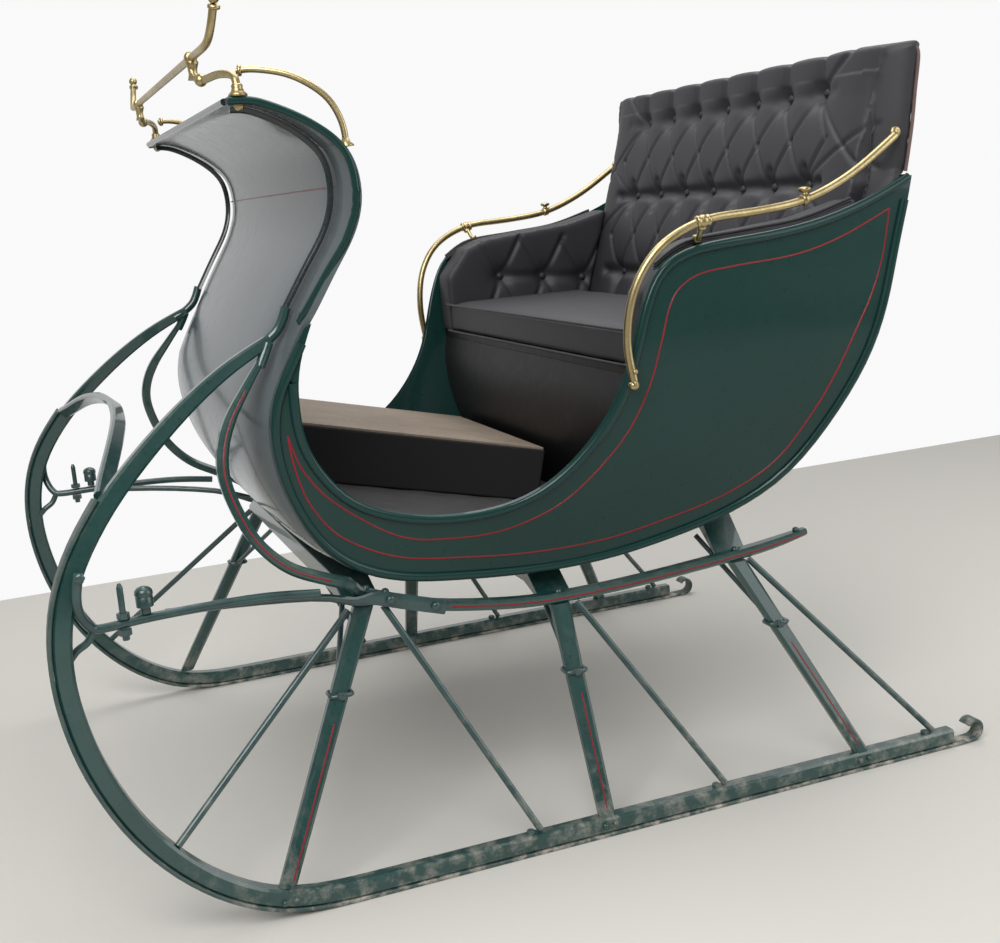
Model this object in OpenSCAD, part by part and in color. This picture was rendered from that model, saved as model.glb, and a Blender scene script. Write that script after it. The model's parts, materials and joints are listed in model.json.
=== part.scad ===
// Horse-drawn cutter sleigh with a swelled body, a curled dash and a tufted seat.
// Millimetres. +X is forward, +Y is the sleigh's left and +Z is up. The origin is on the
// ground, in the middle of the sleigh's box.

/* [Overall] */
// Length over the runners, from the curled tails to the front sweep
overall_length = 1556; // [1250:10:1900]
// Height from the ground to the knobs of the rein rail
overall_height = 1310; // [1050:10:1600]
// Distance between the middles of the two runners
track = 1066; // [900:10:1300]

/* [Runners] */
// Width of a runner bar
runner_w = 26; // [20:1:34]
// Depth of the wooden runner bar
runner_h = 27; // [20:1:36]
// Thickness of the steel shoe under the bar
shoe_t = 6; // [4:0.5:10]
// How far the runner's tip comes in from its foot, to meet the dash rib
tip_inset = 105; // [70:5:140]

/* [Running gear] */
// Distance from the middle of the sleigh to the middle of a rave
rave_y = 408; // [360:4:450]
// Width of a rave bar
rave_w = 24; // [16:1:32]
// Depth of a rave bar
rave_h = 17; // [12:1:26]
// Width of a leg, along the sleigh
leg_w = 32; // [24:1:40]
// Thickness of a leg, across the sleigh
leg_t = 24; // [18:1:32]
// Radius of a stay rod
rod_r = 5.5; // [4:0.5:8]
// Radius of the draw iron
iron_r = 7; // [5:0.5:10]
// Radius of a shaft pin
pin_r = 4.5; // [3.5:0.5:7]
// Length of a shaft pin above its collar
pin_len = 36; // [24:1:50]

/* [Body] */
// Half the width of the body at its floor
floor_half = 412; // [360:4:450]
// How much further out the body swells at the seat
swell = 106; // [60:2:150]
// Thickness of the side panels
panel_t = 11; // [7:1:16]
// Thickness of the dash sheet and of the bottom and back boards
sheet_t = 9; // [6:1:14]
// Width of the half-round bead along the panels' edges
bead_w = 15; // [10:1:22]

/* [Seat] */
// Half the width of the seat cushion
cushion_half = 444; // [380:4:452]
// Height of the cushion's top above the ground
seat_z = 800; // [740:5:860]
// Thickness of the seat cushion
cushion_t = 64; // [40:2:90]
// Thickness of the tufted seat back
back_t = 84; // [60:2:110]

/* [Brass] */
// Radius of the arm rails
arm_rail_r = 7; // [5:0.5:9]
// Radius of the rein rail
rein_rail_r = 6; // [4:0.5:9]

/* [Hidden] */

// The outlines below were drawn at this length and height, and stretch with the overall sizes
drawn_length = 1556;
drawn_height = 1310;
kx = overall_length / drawn_length;
kz = overall_height / drawn_height;
// Clearance left where a piece seats on a curved face
seat_gap = 0.3;
half_track = track / 2;

green = [0.03, 0.16, 0.14];
brass = [0.70, 0.60, 0.30];
leather = [0.06, 0.06, 0.07];

// --- small helpers ---------------------------------------------------------------------

function unit(v) = v / norm(v);
function clamp01(t) = max(0, min(1, t));
function smooth(t) = let(c = clamp01(t)) c * c * (3 - 2 * c);
function mix(a, b, t) = a + (b - a) * t;

// One point of a smooth curve through the points p, on span i at t from 0 to 1
function on_span(p, i, t) =
    let(a = p[max(i - 1, 0)], b = p[i], c = p[i + 1], d = p[min(i + 2, len(p) - 1)])
    0.5 * (2 * b + (c - a) * t + (2 * a - 5 * b + 4 * c - d) * t * t
        + (3 * b - a - 3 * c + d) * t * t * t);

// A smooth curve through the points p, with n steps on each span
function curve(p, n) =
    [for (i = [0:len(p) - 2], k = [0:n - 1]) on_span(p, i, k / n), p[len(p) - 1]];

function tangent(p, i) = unit(p[min(i + 1, len(p) - 1)] - p[max(i - 1, 0)]);

// A ring of the section's [side, up] points around o, square to the direction t
function ring(o, t, side, section) =
    let(s = unit(side - (side * t) * t), u = cross(t, s))
    [for (q = section) o + q[0] * s + q[1] * u];

// A solid through rings of equally many points, all running the same way round
module skin(rings) {
    m = len(rings[0]);
    n = len(rings);
    faces = [
        [for (j = [0:m - 1]) j],
        for (i = [0:n - 2], j = [0:m - 1])
            [i * m + j, (i + 1) * m + j, (i + 1) * m + (j + 1) % m, i * m + (j + 1) % m],
        [for (j = [m - 1:-1:0]) (n - 1) * m + j]];
    polyhedron([for (r = rings) each r], faces);
}

// A bar that follows a path. Its section is [side, up] points, and size scales it along the way
module sweep(path, section, side = [0, 1, 0], size = [[0, 1], [1, 1]]) {
    n = len(path);
    skin([for (i = [0:n - 1])
        ring(path[i], tangent(path, i), side, section * lookup(i / (n - 1), size))]);
}

// Sections: a bar with chamfered corners that stands on its line, a round and a half-round
function bar(w, h, c = 3, lift = 0) = [
    [w / 2 - c, lift], [w / 2, lift + c], [w / 2, lift + h - c], [w / 2 - c, lift + h],
    [c - w / 2, lift + h], [-w / 2, lift + h - c], [-w / 2, lift + c], [c - w / 2, lift]];
function round_bar(r, sides = 10) =
    [for (k = [0:sides - 1]) r * [cos(360 * k / sides), sin(360 * k / sides)]];
function half_round(w, h) = [for (a = [0:30:180]) [w / 2 * cos(a), h * sin(a)]];

// A true round rod between two points
module rod(a, b, r) {
    d = b - a;
    translate(a)
        rotate([0, acos(d[2] / norm(d)), atan2(d[1], d[0])])
            cylinder(r = r, h = norm(d), $fn = 24);
}

module mirror_to(side) {
    if (side > 0) children();
    else mirror([0, 1, 0]) children();
}

// --- outlines --------------------------------------------------------------------------

// The ground side of a runner: [forward, height, share of the tip's inset]
runner_table = [
    [-704, 0, 0], [-520, 0, 0], [-340, 0, 0], [-160, 0, 0], [20, 0, 0], [200, 0, 0], [370, 0, 0],
    [450, 3.5, 0], [525, 20, 0], [600, 63, 0], [664, 124, 0], [715, 198, 0], [752, 283, 0],
    [772, 365, 0], [778, 440, 0.01], [769, 515, 0.04], [741, 588, 0.12], [688, 662, 0.29],
    [617, 729, 0.5], [546, 784, 0.7], [479, 825, 0.87], [416, 853, 1]];
function runner_at(q) = [q[0] * kx, half_track - q[2] * tip_inset, q[1] * kz];
runner_line = curve([for (q = runner_table) runner_at(q)], 2);
// Rows of the runner's curve that carry the steel shoe: it ends at the front bow
shoe_rows = [0:34];

// The scroll bar in front of the dash: [forward, sideways, height]
scroll_table = [
    [426, 436, 817], [458, 448, 776], [486, 462, 738], [503, 477, 699], [507, 489, 658],
    [494, 498, 607], [471, 502, 560], [431, 499, 518], [375, 484, 488], [338, 456, 468],
    [323, 430, 451], [310, 411.5, 438]];

// The top of a rave: [forward, height]
rave_table = [[302, 442], [255, 424], [182, 401], [60, 382], [-33, 377], [-171, 380],
    [-375, 394], [-497, 409]];

// Both long edges of a side panel, row by row from the dash to the top of the back:
// [opening edge forward, height, lower edge forward, height]
panel_table = [
    [355, 862, 366, 855], [377, 806, 396, 806], [384, 750, 421, 760], [379, 692, 430, 707],
    [357, 641, 425, 652], [310, 585, 408, 595], [235, 553, 375, 530], [155, 541, 325, 482],
    [75, 545, 250, 449], [5, 571, 150, 432], [-50, 618, 30, 419], [-92, 673, -100, 418],
    [-118, 728, -225, 437], [-136, 790, -340, 468], [-153, 845, -440, 524],
    [-180, 895, -520, 628], [-236, 921, -574, 725], [-340, 928, -606, 820],
    [-445, 938, -626, 905], [-548, 964, -640, 965], [-632, 999, -647, 1003]];
panel_rows = curve(panel_table, 2);
panel_columns = 8;

// The outer face of the dash, bottom and back at the middle of the sleigh:
// [forward, height, how far the outer edges stand behind it]
dash_table = [
    [441, 1172, 1], [403, 1169, 5], [348, 1139, 14], [311, 1099, 22], [304, 1045, 28],
    [318, 992, 30], [356, 932, 32], [402, 858, 34], [432, 806, 35], [455, 758, 34],
    [463, 708, 33], [456, 652, 31], [437, 595, 29], [398, 530, 23], [340, 482, 15],
    [262, 450, 9]];
bottom_table = [[255.4, 448.2, 9], [150, 430, 0.6], [30, 417, 0.6], [-100, 416, 0.6], [-225, 435, 0.6]];
back_table = [[-226.8, 435.5, 0.6], [-340, 466, 0.6], [-440, 522, 0.6], [-520, 626, 0.6],
    [-576, 725, 0.6], [-608, 820, 0.6], [-629, 905, 0.6], [-643, 965, 0.6], [-650, 1004, 0.6]];
// Half the distance between the dash ribs, as a share of the dash's half width
rib_share = 0.905;
// Height below which the dash's edges lie between the side panels
panel_tip_z = 868;

// --- the body's swelled sides ----------------------------------------------------------

swell_start = 420 * kz;
swell_height = 400 * kz;
taper_length = 450 * kx;
flare_start = 870 * kz;

// Half the body's outer width at a place on its side
function half_width(x, z) =
    floor_half
    + swell * sin(90 * clamp01((z - swell_start) / swell_height))
        * (1 - 0.55 * smooth(x / taper_length))
    + 0.055 * max(0, z - flare_start);

function side_point(x, z) = [x, half_width(x, z), z];

// The side's outward normal at a place
function side_normal(x, z) =
    let(e = 2, dx = half_width(x + e, z) - half_width(x - e, z),
        dz = half_width(x, z + e) - half_width(x, z - e))
    unit([-dx / (2 * e), 1, -dz / (2 * e)]);

// A point of a side panel at depth d below its outer face, at row i and share t downwards
function panel_point(i, t, d) =
    let(q = panel_rows[i], x = mix(q[0], q[2], t) * kx, z = mix(q[1], q[3], t) * kz)
    side_point(x, z) - d * side_normal(x, z);

// The ring round a panel's section at row i: down the outer face and up the inner face
function panel_ring(i) = concat(
    [for (j = [0:panel_columns]) panel_point(i, j / panel_columns, 0)],
    [for (j = [panel_columns:-1:0]) panel_point(i, j / panel_columns, panel_t)]);

// --- sheets that run across the body ---------------------------------------------------

// Where the section of a sheet is taken, as shares of its half width
cross_shares = [-1, -rib_share, -0.6, -0.3, 0, 0.3, 0.6, rib_share, 1];

// Half the clear width between the side panels
function inner_half(x, z) = half_width(x, z) - panel_t / side_normal(x, z)[1] - seat_gap;

function sheet_half(x, z) = x > 0 && z > panel_tip_z * kz ? half_width(x, z) : inner_half(x, z) - 0.5;

// How far behind its middle a sheet lies at share c of its half width
function set_back(c, back) = let(a = abs(c))
    back * (a <= rib_share ? 0.28 * pow(a / rib_share, 2)
        : 0.28 + 0.72 * (a - rib_share) / (1 - rib_share));

// A profile's direction into the body at row i, square to it in the sleigh's middle plane
function inward(p, i) = let(t = tangent([for (q = p) [q[0], q[1]]], i)) [t[1], -t[0]];

function sheet_ring(p, i) =
    let(q = p[i], n = inward(p, i), w = sheet_half(q[0] - q[2], q[1]))
    concat(
        [for (c = cross_shares)
            [q[0] - set_back(c, q[2]) + n[0] * sheet_t, c * w, q[1] + n[1] * sheet_t]],
        [for (k = [len(cross_shares) - 1:-1:0]) let(c = cross_shares[k])
            [q[0] - set_back(c, q[2]), c * w, q[1]]]);

function scaled(table) = [for (q = table) [q[0] * kx, q[1] * kz, q[2] * kx]];
dash_line = curve(scaled(dash_table), 3);
bottom_line = curve(scaled(bottom_table), 3);
back_line = curve(scaled(back_table), 3);

module sheet(line) {
    skin([for (i = [0:len(line) - 1]) sheet_ring(line, i)]);
}

// --- running gear ----------------------------------------------------------------------

module runner(side) {
    color(green) mirror_to(side)
        sweep(runner_line, bar(runner_w, runner_h, 4, shoe_t + 0.2),
            size = [[0, 1], [0.8, 1], [1, 0.62]]);
}

curl_r = 24;
curl_turn = 235;
module shoe(side) {
    curl_x = runner_line[0][0] - 44;
    // The curl is a spiral that closes in from the ground line
    curl = [for (a = [curl_turn:-18:0])
        let(r = curl_r - 8 * a / curl_turn)
        [curl_x - r * sin(a), half_track, curl_r + 1 - r * cos(a)]];
    path = concat(curl, [for (i = shoe_rows) runner_line[i]]);
    color(green) mirror_to(side)
        sweep(path, bar(runner_w + 2, shoe_t, 1.5));
}

// The bow that joins the two runners where they sweep back
bow_table = [[675, 1, 657], [662, 0.86, 672], [637, 0.62, 700], [616, 0.32, 717], [608, 0, 722]];
bow_end = half_track - 0.325 * tip_inset - runner_w / 2 - seat_gap;
module front_bow() {
    half = curve([for (q = bow_table) [q[0] * kx, q[1] * bow_end, q[2] * kz]], 3);
    whole = concat(half, [for (i = [len(half) - 2:-1:0]) [half[i][0], -half[i][1], half[i][2]]]);
    color(green) sweep(whole, bar(24, 13, 3, -6.5), side = [1, 0, 0.9]);
}

// Legs: [forward at the top, height at the top, forward at the foot, height of the foot]
leg_table = [[308, 416.3, 493, 40], [-21, 359.8, -27, 33], [-356.5, 373.8, -514, 33]];
leg_top_y = rave_y + 2;
// Height up a leg, as a share, where its brace is clipped
clip_share = 0.68;
function leg_top(k) = [leg_table[k][0] * kx, leg_top_y, leg_table[k][1] * kz];
function leg_foot(k) = [leg_table[k][2] * kx, half_track, foot_height(k)];
// A leg stands on the bar: the runner's curve lifts the front foot
function foot_height(k) = leg_table[k][3] - 33 + (k == 0 ? 8.9 : 0) + shoe_t + runner_h + seat_gap;

module leg(k, side) {
    top = leg_top(k);
    foot = leg_foot(k);
    color(green) mirror_to(side)
        skin([for (p = [foot, top]) let(h = p == foot ? 0.84 : 1)
            [for (q = bar(leg_w * h, leg_t * h, 6, -leg_t * h / 2)) [p[0] + q[0], p[1] - q[1], p[2]]]]);
}

// A bench crosses the sleigh under the body: deep in the middle, thin at the raves
bench_w = 58;
bench_end_t = 10;
module bench(k) {
    x = leg_table[k][0] * kx;
    z0 = leg_table[k][1] * kz + seat_gap;
    under = bench_under(k) - seat_gap;
    inner = bench_seat_half;
    outer = rave_y - rave_w / 2 - seat_gap;
    color(green) translate([x - bench_w / 2, 0, 0]) rotate([90, 0, 90])
        linear_extrude(bench_w) polygon([
            [-outer, z0], [-inner, under - 34], [inner, under - 34], [outer, z0],
            [outer, z0 + bench_end_t], [inner, under], [-inner, under], [-outer, z0 + bench_end_t]]);
}
// Lowest outer face of the body over bench k
function bench_under(k) = [453, 414.6, 458.5][k] * kz;
bench_seat_half = 330;

module rave(side) {
    path = curve([for (q = rave_table) [q[0] * kx, rave_y, q[1] * kz]], 3);
    color(green) mirror_to(side)
        sweep(path, bar(rave_w, rave_h, 4, 0), side = [0, 1, 0], size = [[0, 1], [0.9, 1], [1, 0.7]]);
}

module scroll(side) {
    path = curve([for (q = scroll_table) [q[0] * kx, q[1] - 408 + rave_y, q[2] * kz]], 4);
    color(green) mirror_to(side)
        sweep(path, bar(20, 17, 4, -8), size = [[0, 0.55], [0.2, 1], [1, 1]]);
}

// --- irons -----------------------------------------------------------------------------

// Draw iron: [forward, out from the rave line, height]
iron_table = [[722, 146, 573], [729, 142, 540], [727, 130, 512], [716, 118, 490], [700, 114, 484],
    [640, 107, 486], [560, 102, 486], [470, 97, 483], [392, 92, 473]];
// The lower branch of the iron, which flattens out on the outer face of the rave:
// [forward, out from the rave line, height, half its thickness across, half its depth]
branch_table = [[612, 91, 484, 6, 6], [520, 76, 476, 6, 6], [430, 58, 463, 6, 6],
    [362, 40, 449, 6, 6], [325, 29, 428, 4, 7], [300, 17, 430, 3.2, 10],
    [280, 15.9, 425, 3, 12], [230, 15.9, 408, 3, 12], [178, 15.9, 392, 3, 12]];
function iron_at(q) = [q[0] * kx, rave_y + q[1], q[2] * kz];
pin_x = 671;
socket_x = 640;
pin_y = 112;
iron_z = 485.3;

module draw_iron(side) {
    color(green) mirror_to(side)
        sweep(curve([for (q = iron_table) iron_at(q)], 3), round_bar(iron_r), side = [0, 0.6, 0.8]);
    branch = [for (q = branch_table) iron_at(q)];
    color(green) mirror_to(side)
        skin([for (i = [0:len(branch) - 1])
            ring(branch[i], tangent(branch, i), [0, 1, 0],
                flat_bar(branch_table[i][3], branch_table[i][4]))]);
}
function flat_bar(a, b) = [for (k = [0:7]) [a * cos(45 * k + 22.5), b * sin(45 * k + 22.5)] * 1.08];

module shaft_pin(side) {
    mirror_to(side) translate([pin_x * kx, rave_y + pin_y, iron_z * kz + iron_r + seat_gap]) {
        cylinder(r = 9, h = 8, $fn = 6);
        translate([0, 0, 8]) cylinder(r = pin_r, h = pin_len, $fn = 32);
        translate([0, 0, 8 + pin_len]) cylinder(r1 = pin_r, r2 = pin_r / 2, h = 6, $fn = 32);
    }
}

module shaft_socket(side) {
    mirror_to(side) translate([socket_x * kx, rave_y + pin_y - 4, iron_z * kz + iron_r + 1.4]) {
        cylinder(r = 7, h = 10, $fn = 32);
        translate([0, 0, 10]) cylinder(r = 12, h = 14, $fn = 32);
        translate([0, 0, 24]) cylinder(r1 = 12, r2 = 5, h = 7, $fn = 32);
    }
}

// Stay rods: [forward at the foot, height at the foot, forward at the top, height at the top]
stay_table = [[641, 150.5, 332.5, 411], [88, 36, 275.5, 409], [-246, 36, -52, 356],
    [-667, 36, -381, 372.4]];
module stay_rods(side) {
    color(green) mirror_to(side)
        for (q = stay_table)
            rod([q[2] * kx, rave_y + 2, q[3] * kz], [q[0] * kx, half_track, q[1] * kz], rod_r);
}

// Braces from under each bench out to a clip on its leg: [forward, sideways, height] at the bench
brace_table = [[302, 262, 410], [-16, 330, 376], [-322, 332, 408]];
module leg_braces() {
    for (side = [-1, 1], k = [0:2]) {
        clip = mix(leg_foot(k), leg_top(k), clip_share);
        start = [brace_table[k][0] * kx, brace_table[k][1], brace_table[k][2] * kz];
        color(green) mirror_to(side) rod(start, clip - [0, leg_t / 2 + 4, 0], 4.5);
    }
}

// --- body ------------------------------------------------------------------------------

module side_panel(side) {
    color(green) mirror_to(side) skin([for (i = [0:len(panel_rows) - 1]) panel_ring(i)]);
}

// A half-round bead lies on the outer face, just inside an edge
bead_h = 6;
module bead_on(points) {
    n = len(points);
    skin([for (i = [0:n - 1])
        let(p = points[i], t = tangent(points, i), o = side_normal(p[0], p[2]), s = unit(cross(o, t)))
        [for (q = half_round(bead_w, bead_h)) p + q[0] * s + (q[1] + 1.3) * o]]);
}
module panel_bead(side) {
    last = len(panel_rows) - 1;
    color(green) mirror_to(side) {
        bead_on([for (i = [last:-1:3]) edge_point(panel_rows[i], 0, bead_w / 2)]);
        bead_on([for (i = [last - 2:-1:1]) edge_point(panel_rows[i], 1, bead_w / 2)]);
    }
}
// A point on the side, a little way in from the opening edge (0) or the lower edge (1)
function edge_point(q, edge, inset) =
    let(a = [q[0] * kx, q[1] * kz], b = [q[2] * kx, q[3] * kz], u = unit(b - a) * inset,
        p = edge == 0 ? a + u : b - u)
    side_point(p[0], p[1]);

module dash() { color(green) sheet(dash_line); }
module bottom_boards() { color(green) sheet(bottom_line); }
module back_panel() { color(green) sheet(back_line); }

// Half-round ribs run down the front of the dash to the runners' tips
rib_w = 14;
rib_h = 9;
module dash_ribs() {
    for (side = [-1, 1])
        color(green) mirror_to(side)
            skin([for (i = [1:20])
                let(q = dash_line[i], n = inward(dash_line, i), o = -[n[0], 0, n[1]],
                    foot = [q[0] - set_back(rib_share, q[2]), rib_share * sheet_half(q[0], q[1]), q[1]])
                [for (h = half_round(rib_w, rib_h)) foot + h[0] * [0, 1, 0] + (h[1] + 1) * o]]);
}

// --- seat and soft pieces --------------------------------------------------------------

// Clearance between the upholstery and the panels
soft_gap = 0.8;
seat_front = -150 * kx;
seat_board_t = 13;
under_cushion = seat_z - cushion_t - 0.4;
// The padded fall below the seat: [behind the cushion's front, height as a share of the fall]
fall_table = [[14, 1], [3, 0.78], [10, 0.45], [34, 0.2], [58, 0]];
fall_t = 18;
fall_foot = 447 * kz;
module seat_box() {
    fall_top = under_cushion - seat_board_t - 0.5;
    rows = curve([for (i = [len(fall_table) - 1:-1:0]) let(q = fall_table[i])
        [seat_front - q[0] * kx, mix(fall_foot, fall_top, q[1])]], 3);
    color(leather) {
        skin([for (q = rows) let(w = inner_half(q[0], q[1]) - soft_gap)
            [[q[0], -w, q[1]], [q[0], w, q[1]], [q[0] - fall_t, w, q[1]], [q[0] - fall_t, -w, q[1]]]]);
        skin([for (x = [seat_front - 14 * kx, -260 * kx, back_inner(under_cushion - seat_board_t)])
            let(w = inner_half(x, under_cushion - seat_board_t) - soft_gap)
            [[x, -w, under_cushion - seat_board_t], [x, -w, under_cushion],
                [x, w, under_cushion], [x, w, under_cushion - seat_board_t]]]);
    }
}

// The seat back's front face: [height, forward]
back_front_table = [[735, -490], [830, -516], [990, -561], [1140, -604], [1213, -620]];
// Its rear face and half width above the body: [height, forward, half width]
back_crown_table = [[1012, -651, 508], [1140, -664, 518], [1206, -671, 524], [1213, -666, 522]];
function back_front(z) = lookup(z / kz, back_front_table) * kx;
function back_inner(z) =
    lookup(z, [for (q = back_line) [q[1], q[0]]]) + 1.14 * sheet_t + 2.1;

module seat_cushion() {
    rear = back_front(under_cushion) + 0.5;
    color(leather) translate([rear, -cushion_half, seat_z - cushion_t])
        cube([seat_front - rear, 2 * cushion_half, cushion_t]);
}

module seat_back() {
    inside = [for (z = [under_cushion + 0.4, 780 * kz, 820 * kz, 860 * kz, 905 * kz, 940 * kz, 965 * kz, 1003 * kz])
        [z, back_inner(z), inner_half(back_inner(z), z) - soft_gap]];
    above = [for (q = back_crown_table) [q[0] * kz, q[1] * kx, q[2] * half_width(-600, 900) / 520]];
    color(leather) skin([for (q = concat(inside, above)) let(f = back_front(q[0]), z = q[0], w = q[2])
        [[f, -w, z], [f, w, z], [q[1], w, z], [q[1], -w, z]]]);
}

// Top of an arm pad: [distance behind the middle of the sleigh, height]
pad_top_table = [[150, 840], [180, 902], [236, 931], [340, 941], [445, 951], [548, 978], [632, 1013]];
pad_front = 158;
module arm_pad(side) {
    z0 = under_cushion + 0.4;
    color(leather) mirror_to(side) skin([for (s = [0:0.125:1])
        let(top = lookup(mix(pad_front, 540, s), pad_top_table) * kz)
        concat([for (k = [0:4]) pad_point(s, mix(z0, top, k / 4), 1)],
            [for (k = [4:-1:0]) pad_point(s, mix(z0, top, k / 4), 0)])]);
}
function pad_point(s, z, outer) =
    let(x = mix(-pad_front * kx, back_front(z) + 1, s))
    [x, outer ? inner_half(x, z) - 2 * soft_gap : cushion_half + 0.6, z];

// The floor board, with its carpet
module floor_carpet() {
    color([0.03, 0.03, 0.03]) translate([-202 * kx, -398, 441.4 * kz]) cube([364 * kx, 796, 13]);
}

// The loose foot box leans on the foot of the dash
box_long = 552;
box_wide = 480;
box_deep = 98;
box_lean = 13.5;
module foot_box() {
    color([0.05, 0.05, 0.05]) translate([-124 * kx, -390, 441.4 * kz + 13.3]) rotate([0, -box_lean, 0])
        cube([box_long, box_wide, box_deep]);
}

// --- brass -----------------------------------------------------------------------------

// Arm rail: [forward, sideways beyond the seat's half width, height]
arm_rail_table = [[-124, 8, 727], [-117, 6, 790], [-130, 13, 865], [-172, 20, 926], [-248, 23, 961],
    [-340, 17, 967], [-440, 10, 978], [-532, 8, 1014], [-618, 3.5, 1068]];
module arm_rail(side) {
    color(brass) mirror_to(side)
        sweep(curve([for (q = arm_rail_table)
            [q[0] * kx, floor_half + swell + q[1], q[2] * kz]], 3), round_bar(arm_rail_r),
            side = [0, 1, 0]);
    // The post that holds the rail up from the panel's top edge
    color(brass) mirror_to(side)
        rod([-253 * kx, floor_half + swell - 6.5, 927 * kz],
            [-248 * kx, floor_half + swell + 19.5, 954 * kz], 4);
}

// One end of the rein rail, from its upturned end to its straight part
rein_table = [[451, 512, 1296], [455, 502, 1273], [459, 486, 1255], [462, 462, 1249], [463, 430, 1248]];
// Its post and foot rail: [forward, sideways, height]
foot_rail_table = [[464, 352, 1242.7], [464, 356, 1226], [456, 372, 1214], [440, 420, 1217],
    [426, 458, 1211], [424, 468, 1197], [424, 470, 1181.8]];
// The rail that follows the curl of the dash
side_rail_table = [[418.5, 443.5, 1218], [395, 450, 1219], [347, 462, 1208], [303, 472, 1178],
    [284, 478, 1140], [281, 479, 1106]];
function brass_line(table) = curve([for (q = table) [q[0] * kx, q[1], q[2] * kz]], 3);

module rein_rail() {
    half = brass_line(rein_table);
    whole = concat(half, [for (i = [len(half) - 1:-1:0]) [half[i][0], -half[i][1], half[i][2]]]);
    color(brass) sweep(whole, round_bar(rein_rail_r), side = [1, 0, 0]);
    for (side = [-1, 1])
        color(brass) mirror_to(side) {
            sweep(brass_line(foot_rail_table), round_bar(rein_rail_r), side = [1, 0, 0]);
            translate([450 * kx, 514, 1305 * kz]) sphere(r = 8, $fn = 24);
        }
}

module dash_rails() {
    for (side = [-1, 1])
        color(brass) mirror_to(side)
            sweep(brass_line(side_rail_table), round_bar(rein_rail_r - 1), side = [0, 1, 0]);
}

runner(1);  // runner_left
runner(-1);  // runner_right
shoe(1);  // shoe_left
shoe(-1);  // shoe_right
front_bow();
leg(0, 1);  // leg_front_left
leg(0, -1);  // leg_front_right
leg(1, 1);  // leg_mid_left
leg(1, -1);  // leg_mid_right
leg(2, 1);  // leg_rear_left
leg(2, -1);  // leg_rear_right
bench(0);  // bench_front
bench(1);  // bench_mid
bench(2);  // bench_rear
rave(1);  // rave_left
rave(-1);  // rave_right
scroll(1);  // scroll_left
scroll(-1);  // scroll_right
draw_iron(1);  // draw_iron_left
draw_iron(-1);  // draw_iron_right
color(green) { shaft_pin(1); shaft_pin(-1); }  // shaft_pins
color(green) { shaft_socket(1); shaft_socket(-1); }  // shaft_sockets
stay_rods(1);  // stay_rods_left
stay_rods(-1);  // stay_rods_right
leg_braces();
side_panel(1);  // side_panel_left
side_panel(-1);  // side_panel_right
panel_bead(1);  // panel_bead_left
panel_bead(-1);  // panel_bead_right
dash();
dash_ribs();
bottom_boards();
back_panel();
seat_box();
seat_cushion();
seat_back();
arm_pad(1);  // arm_pad_left
arm_pad(-1);  // arm_pad_right
arm_rail(1);  // arm_rail_left
arm_rail(-1);  // arm_rail_right
rein_rail();
dash_rails();
floor_carpet();
foot_box();
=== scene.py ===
"""Looks of the horse-drawn cutter sleigh: finishes, upholstery, brass work, bolts and light."""

import json
import logging
import math
from dataclasses import dataclass
from enum import Enum
from typing import Callable, Iterable, Sequence

import bmesh
import bpy
import numpy as np
from mathutils import Matrix, Vector
from mathutils.bvhtree import BVHTree

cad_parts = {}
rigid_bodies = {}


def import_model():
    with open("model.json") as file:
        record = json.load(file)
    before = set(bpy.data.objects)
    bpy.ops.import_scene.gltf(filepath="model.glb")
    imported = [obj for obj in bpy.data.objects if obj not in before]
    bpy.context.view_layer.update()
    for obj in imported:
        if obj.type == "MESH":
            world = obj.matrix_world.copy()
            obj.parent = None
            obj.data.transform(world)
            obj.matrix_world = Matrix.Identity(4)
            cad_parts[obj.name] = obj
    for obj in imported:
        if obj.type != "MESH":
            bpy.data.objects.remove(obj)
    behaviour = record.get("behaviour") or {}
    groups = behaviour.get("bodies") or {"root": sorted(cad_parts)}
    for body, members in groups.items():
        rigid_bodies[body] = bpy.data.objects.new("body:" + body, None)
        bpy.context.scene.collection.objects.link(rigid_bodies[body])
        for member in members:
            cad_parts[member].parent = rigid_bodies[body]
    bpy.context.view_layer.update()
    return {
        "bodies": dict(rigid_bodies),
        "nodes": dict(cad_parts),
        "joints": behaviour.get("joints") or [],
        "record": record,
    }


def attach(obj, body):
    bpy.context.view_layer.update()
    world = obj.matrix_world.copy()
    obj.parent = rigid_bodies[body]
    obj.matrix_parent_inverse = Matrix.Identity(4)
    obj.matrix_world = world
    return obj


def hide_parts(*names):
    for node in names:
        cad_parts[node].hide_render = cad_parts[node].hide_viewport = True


log = logging.getLogger("sleigh")

Point = tuple[float, float, float]
Colour = tuple[float, float, float, float]
MM = 0.001
UP = (0, 0, 1)
# Corners of a CAD mesh closer than this are one corner
WELD = 2e-5
# How far a painted line sits into the surface under it
LINE_SINK = 0.0009


class Side(Enum):
    """A side of the sleigh, with the sign of its Y."""

    LEFT = 1
    RIGHT = -1


SIDES = tuple((side.name.lower(), side.value) for side in Side)


# --- finishes -------------------------------------------------------------------------------


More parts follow.
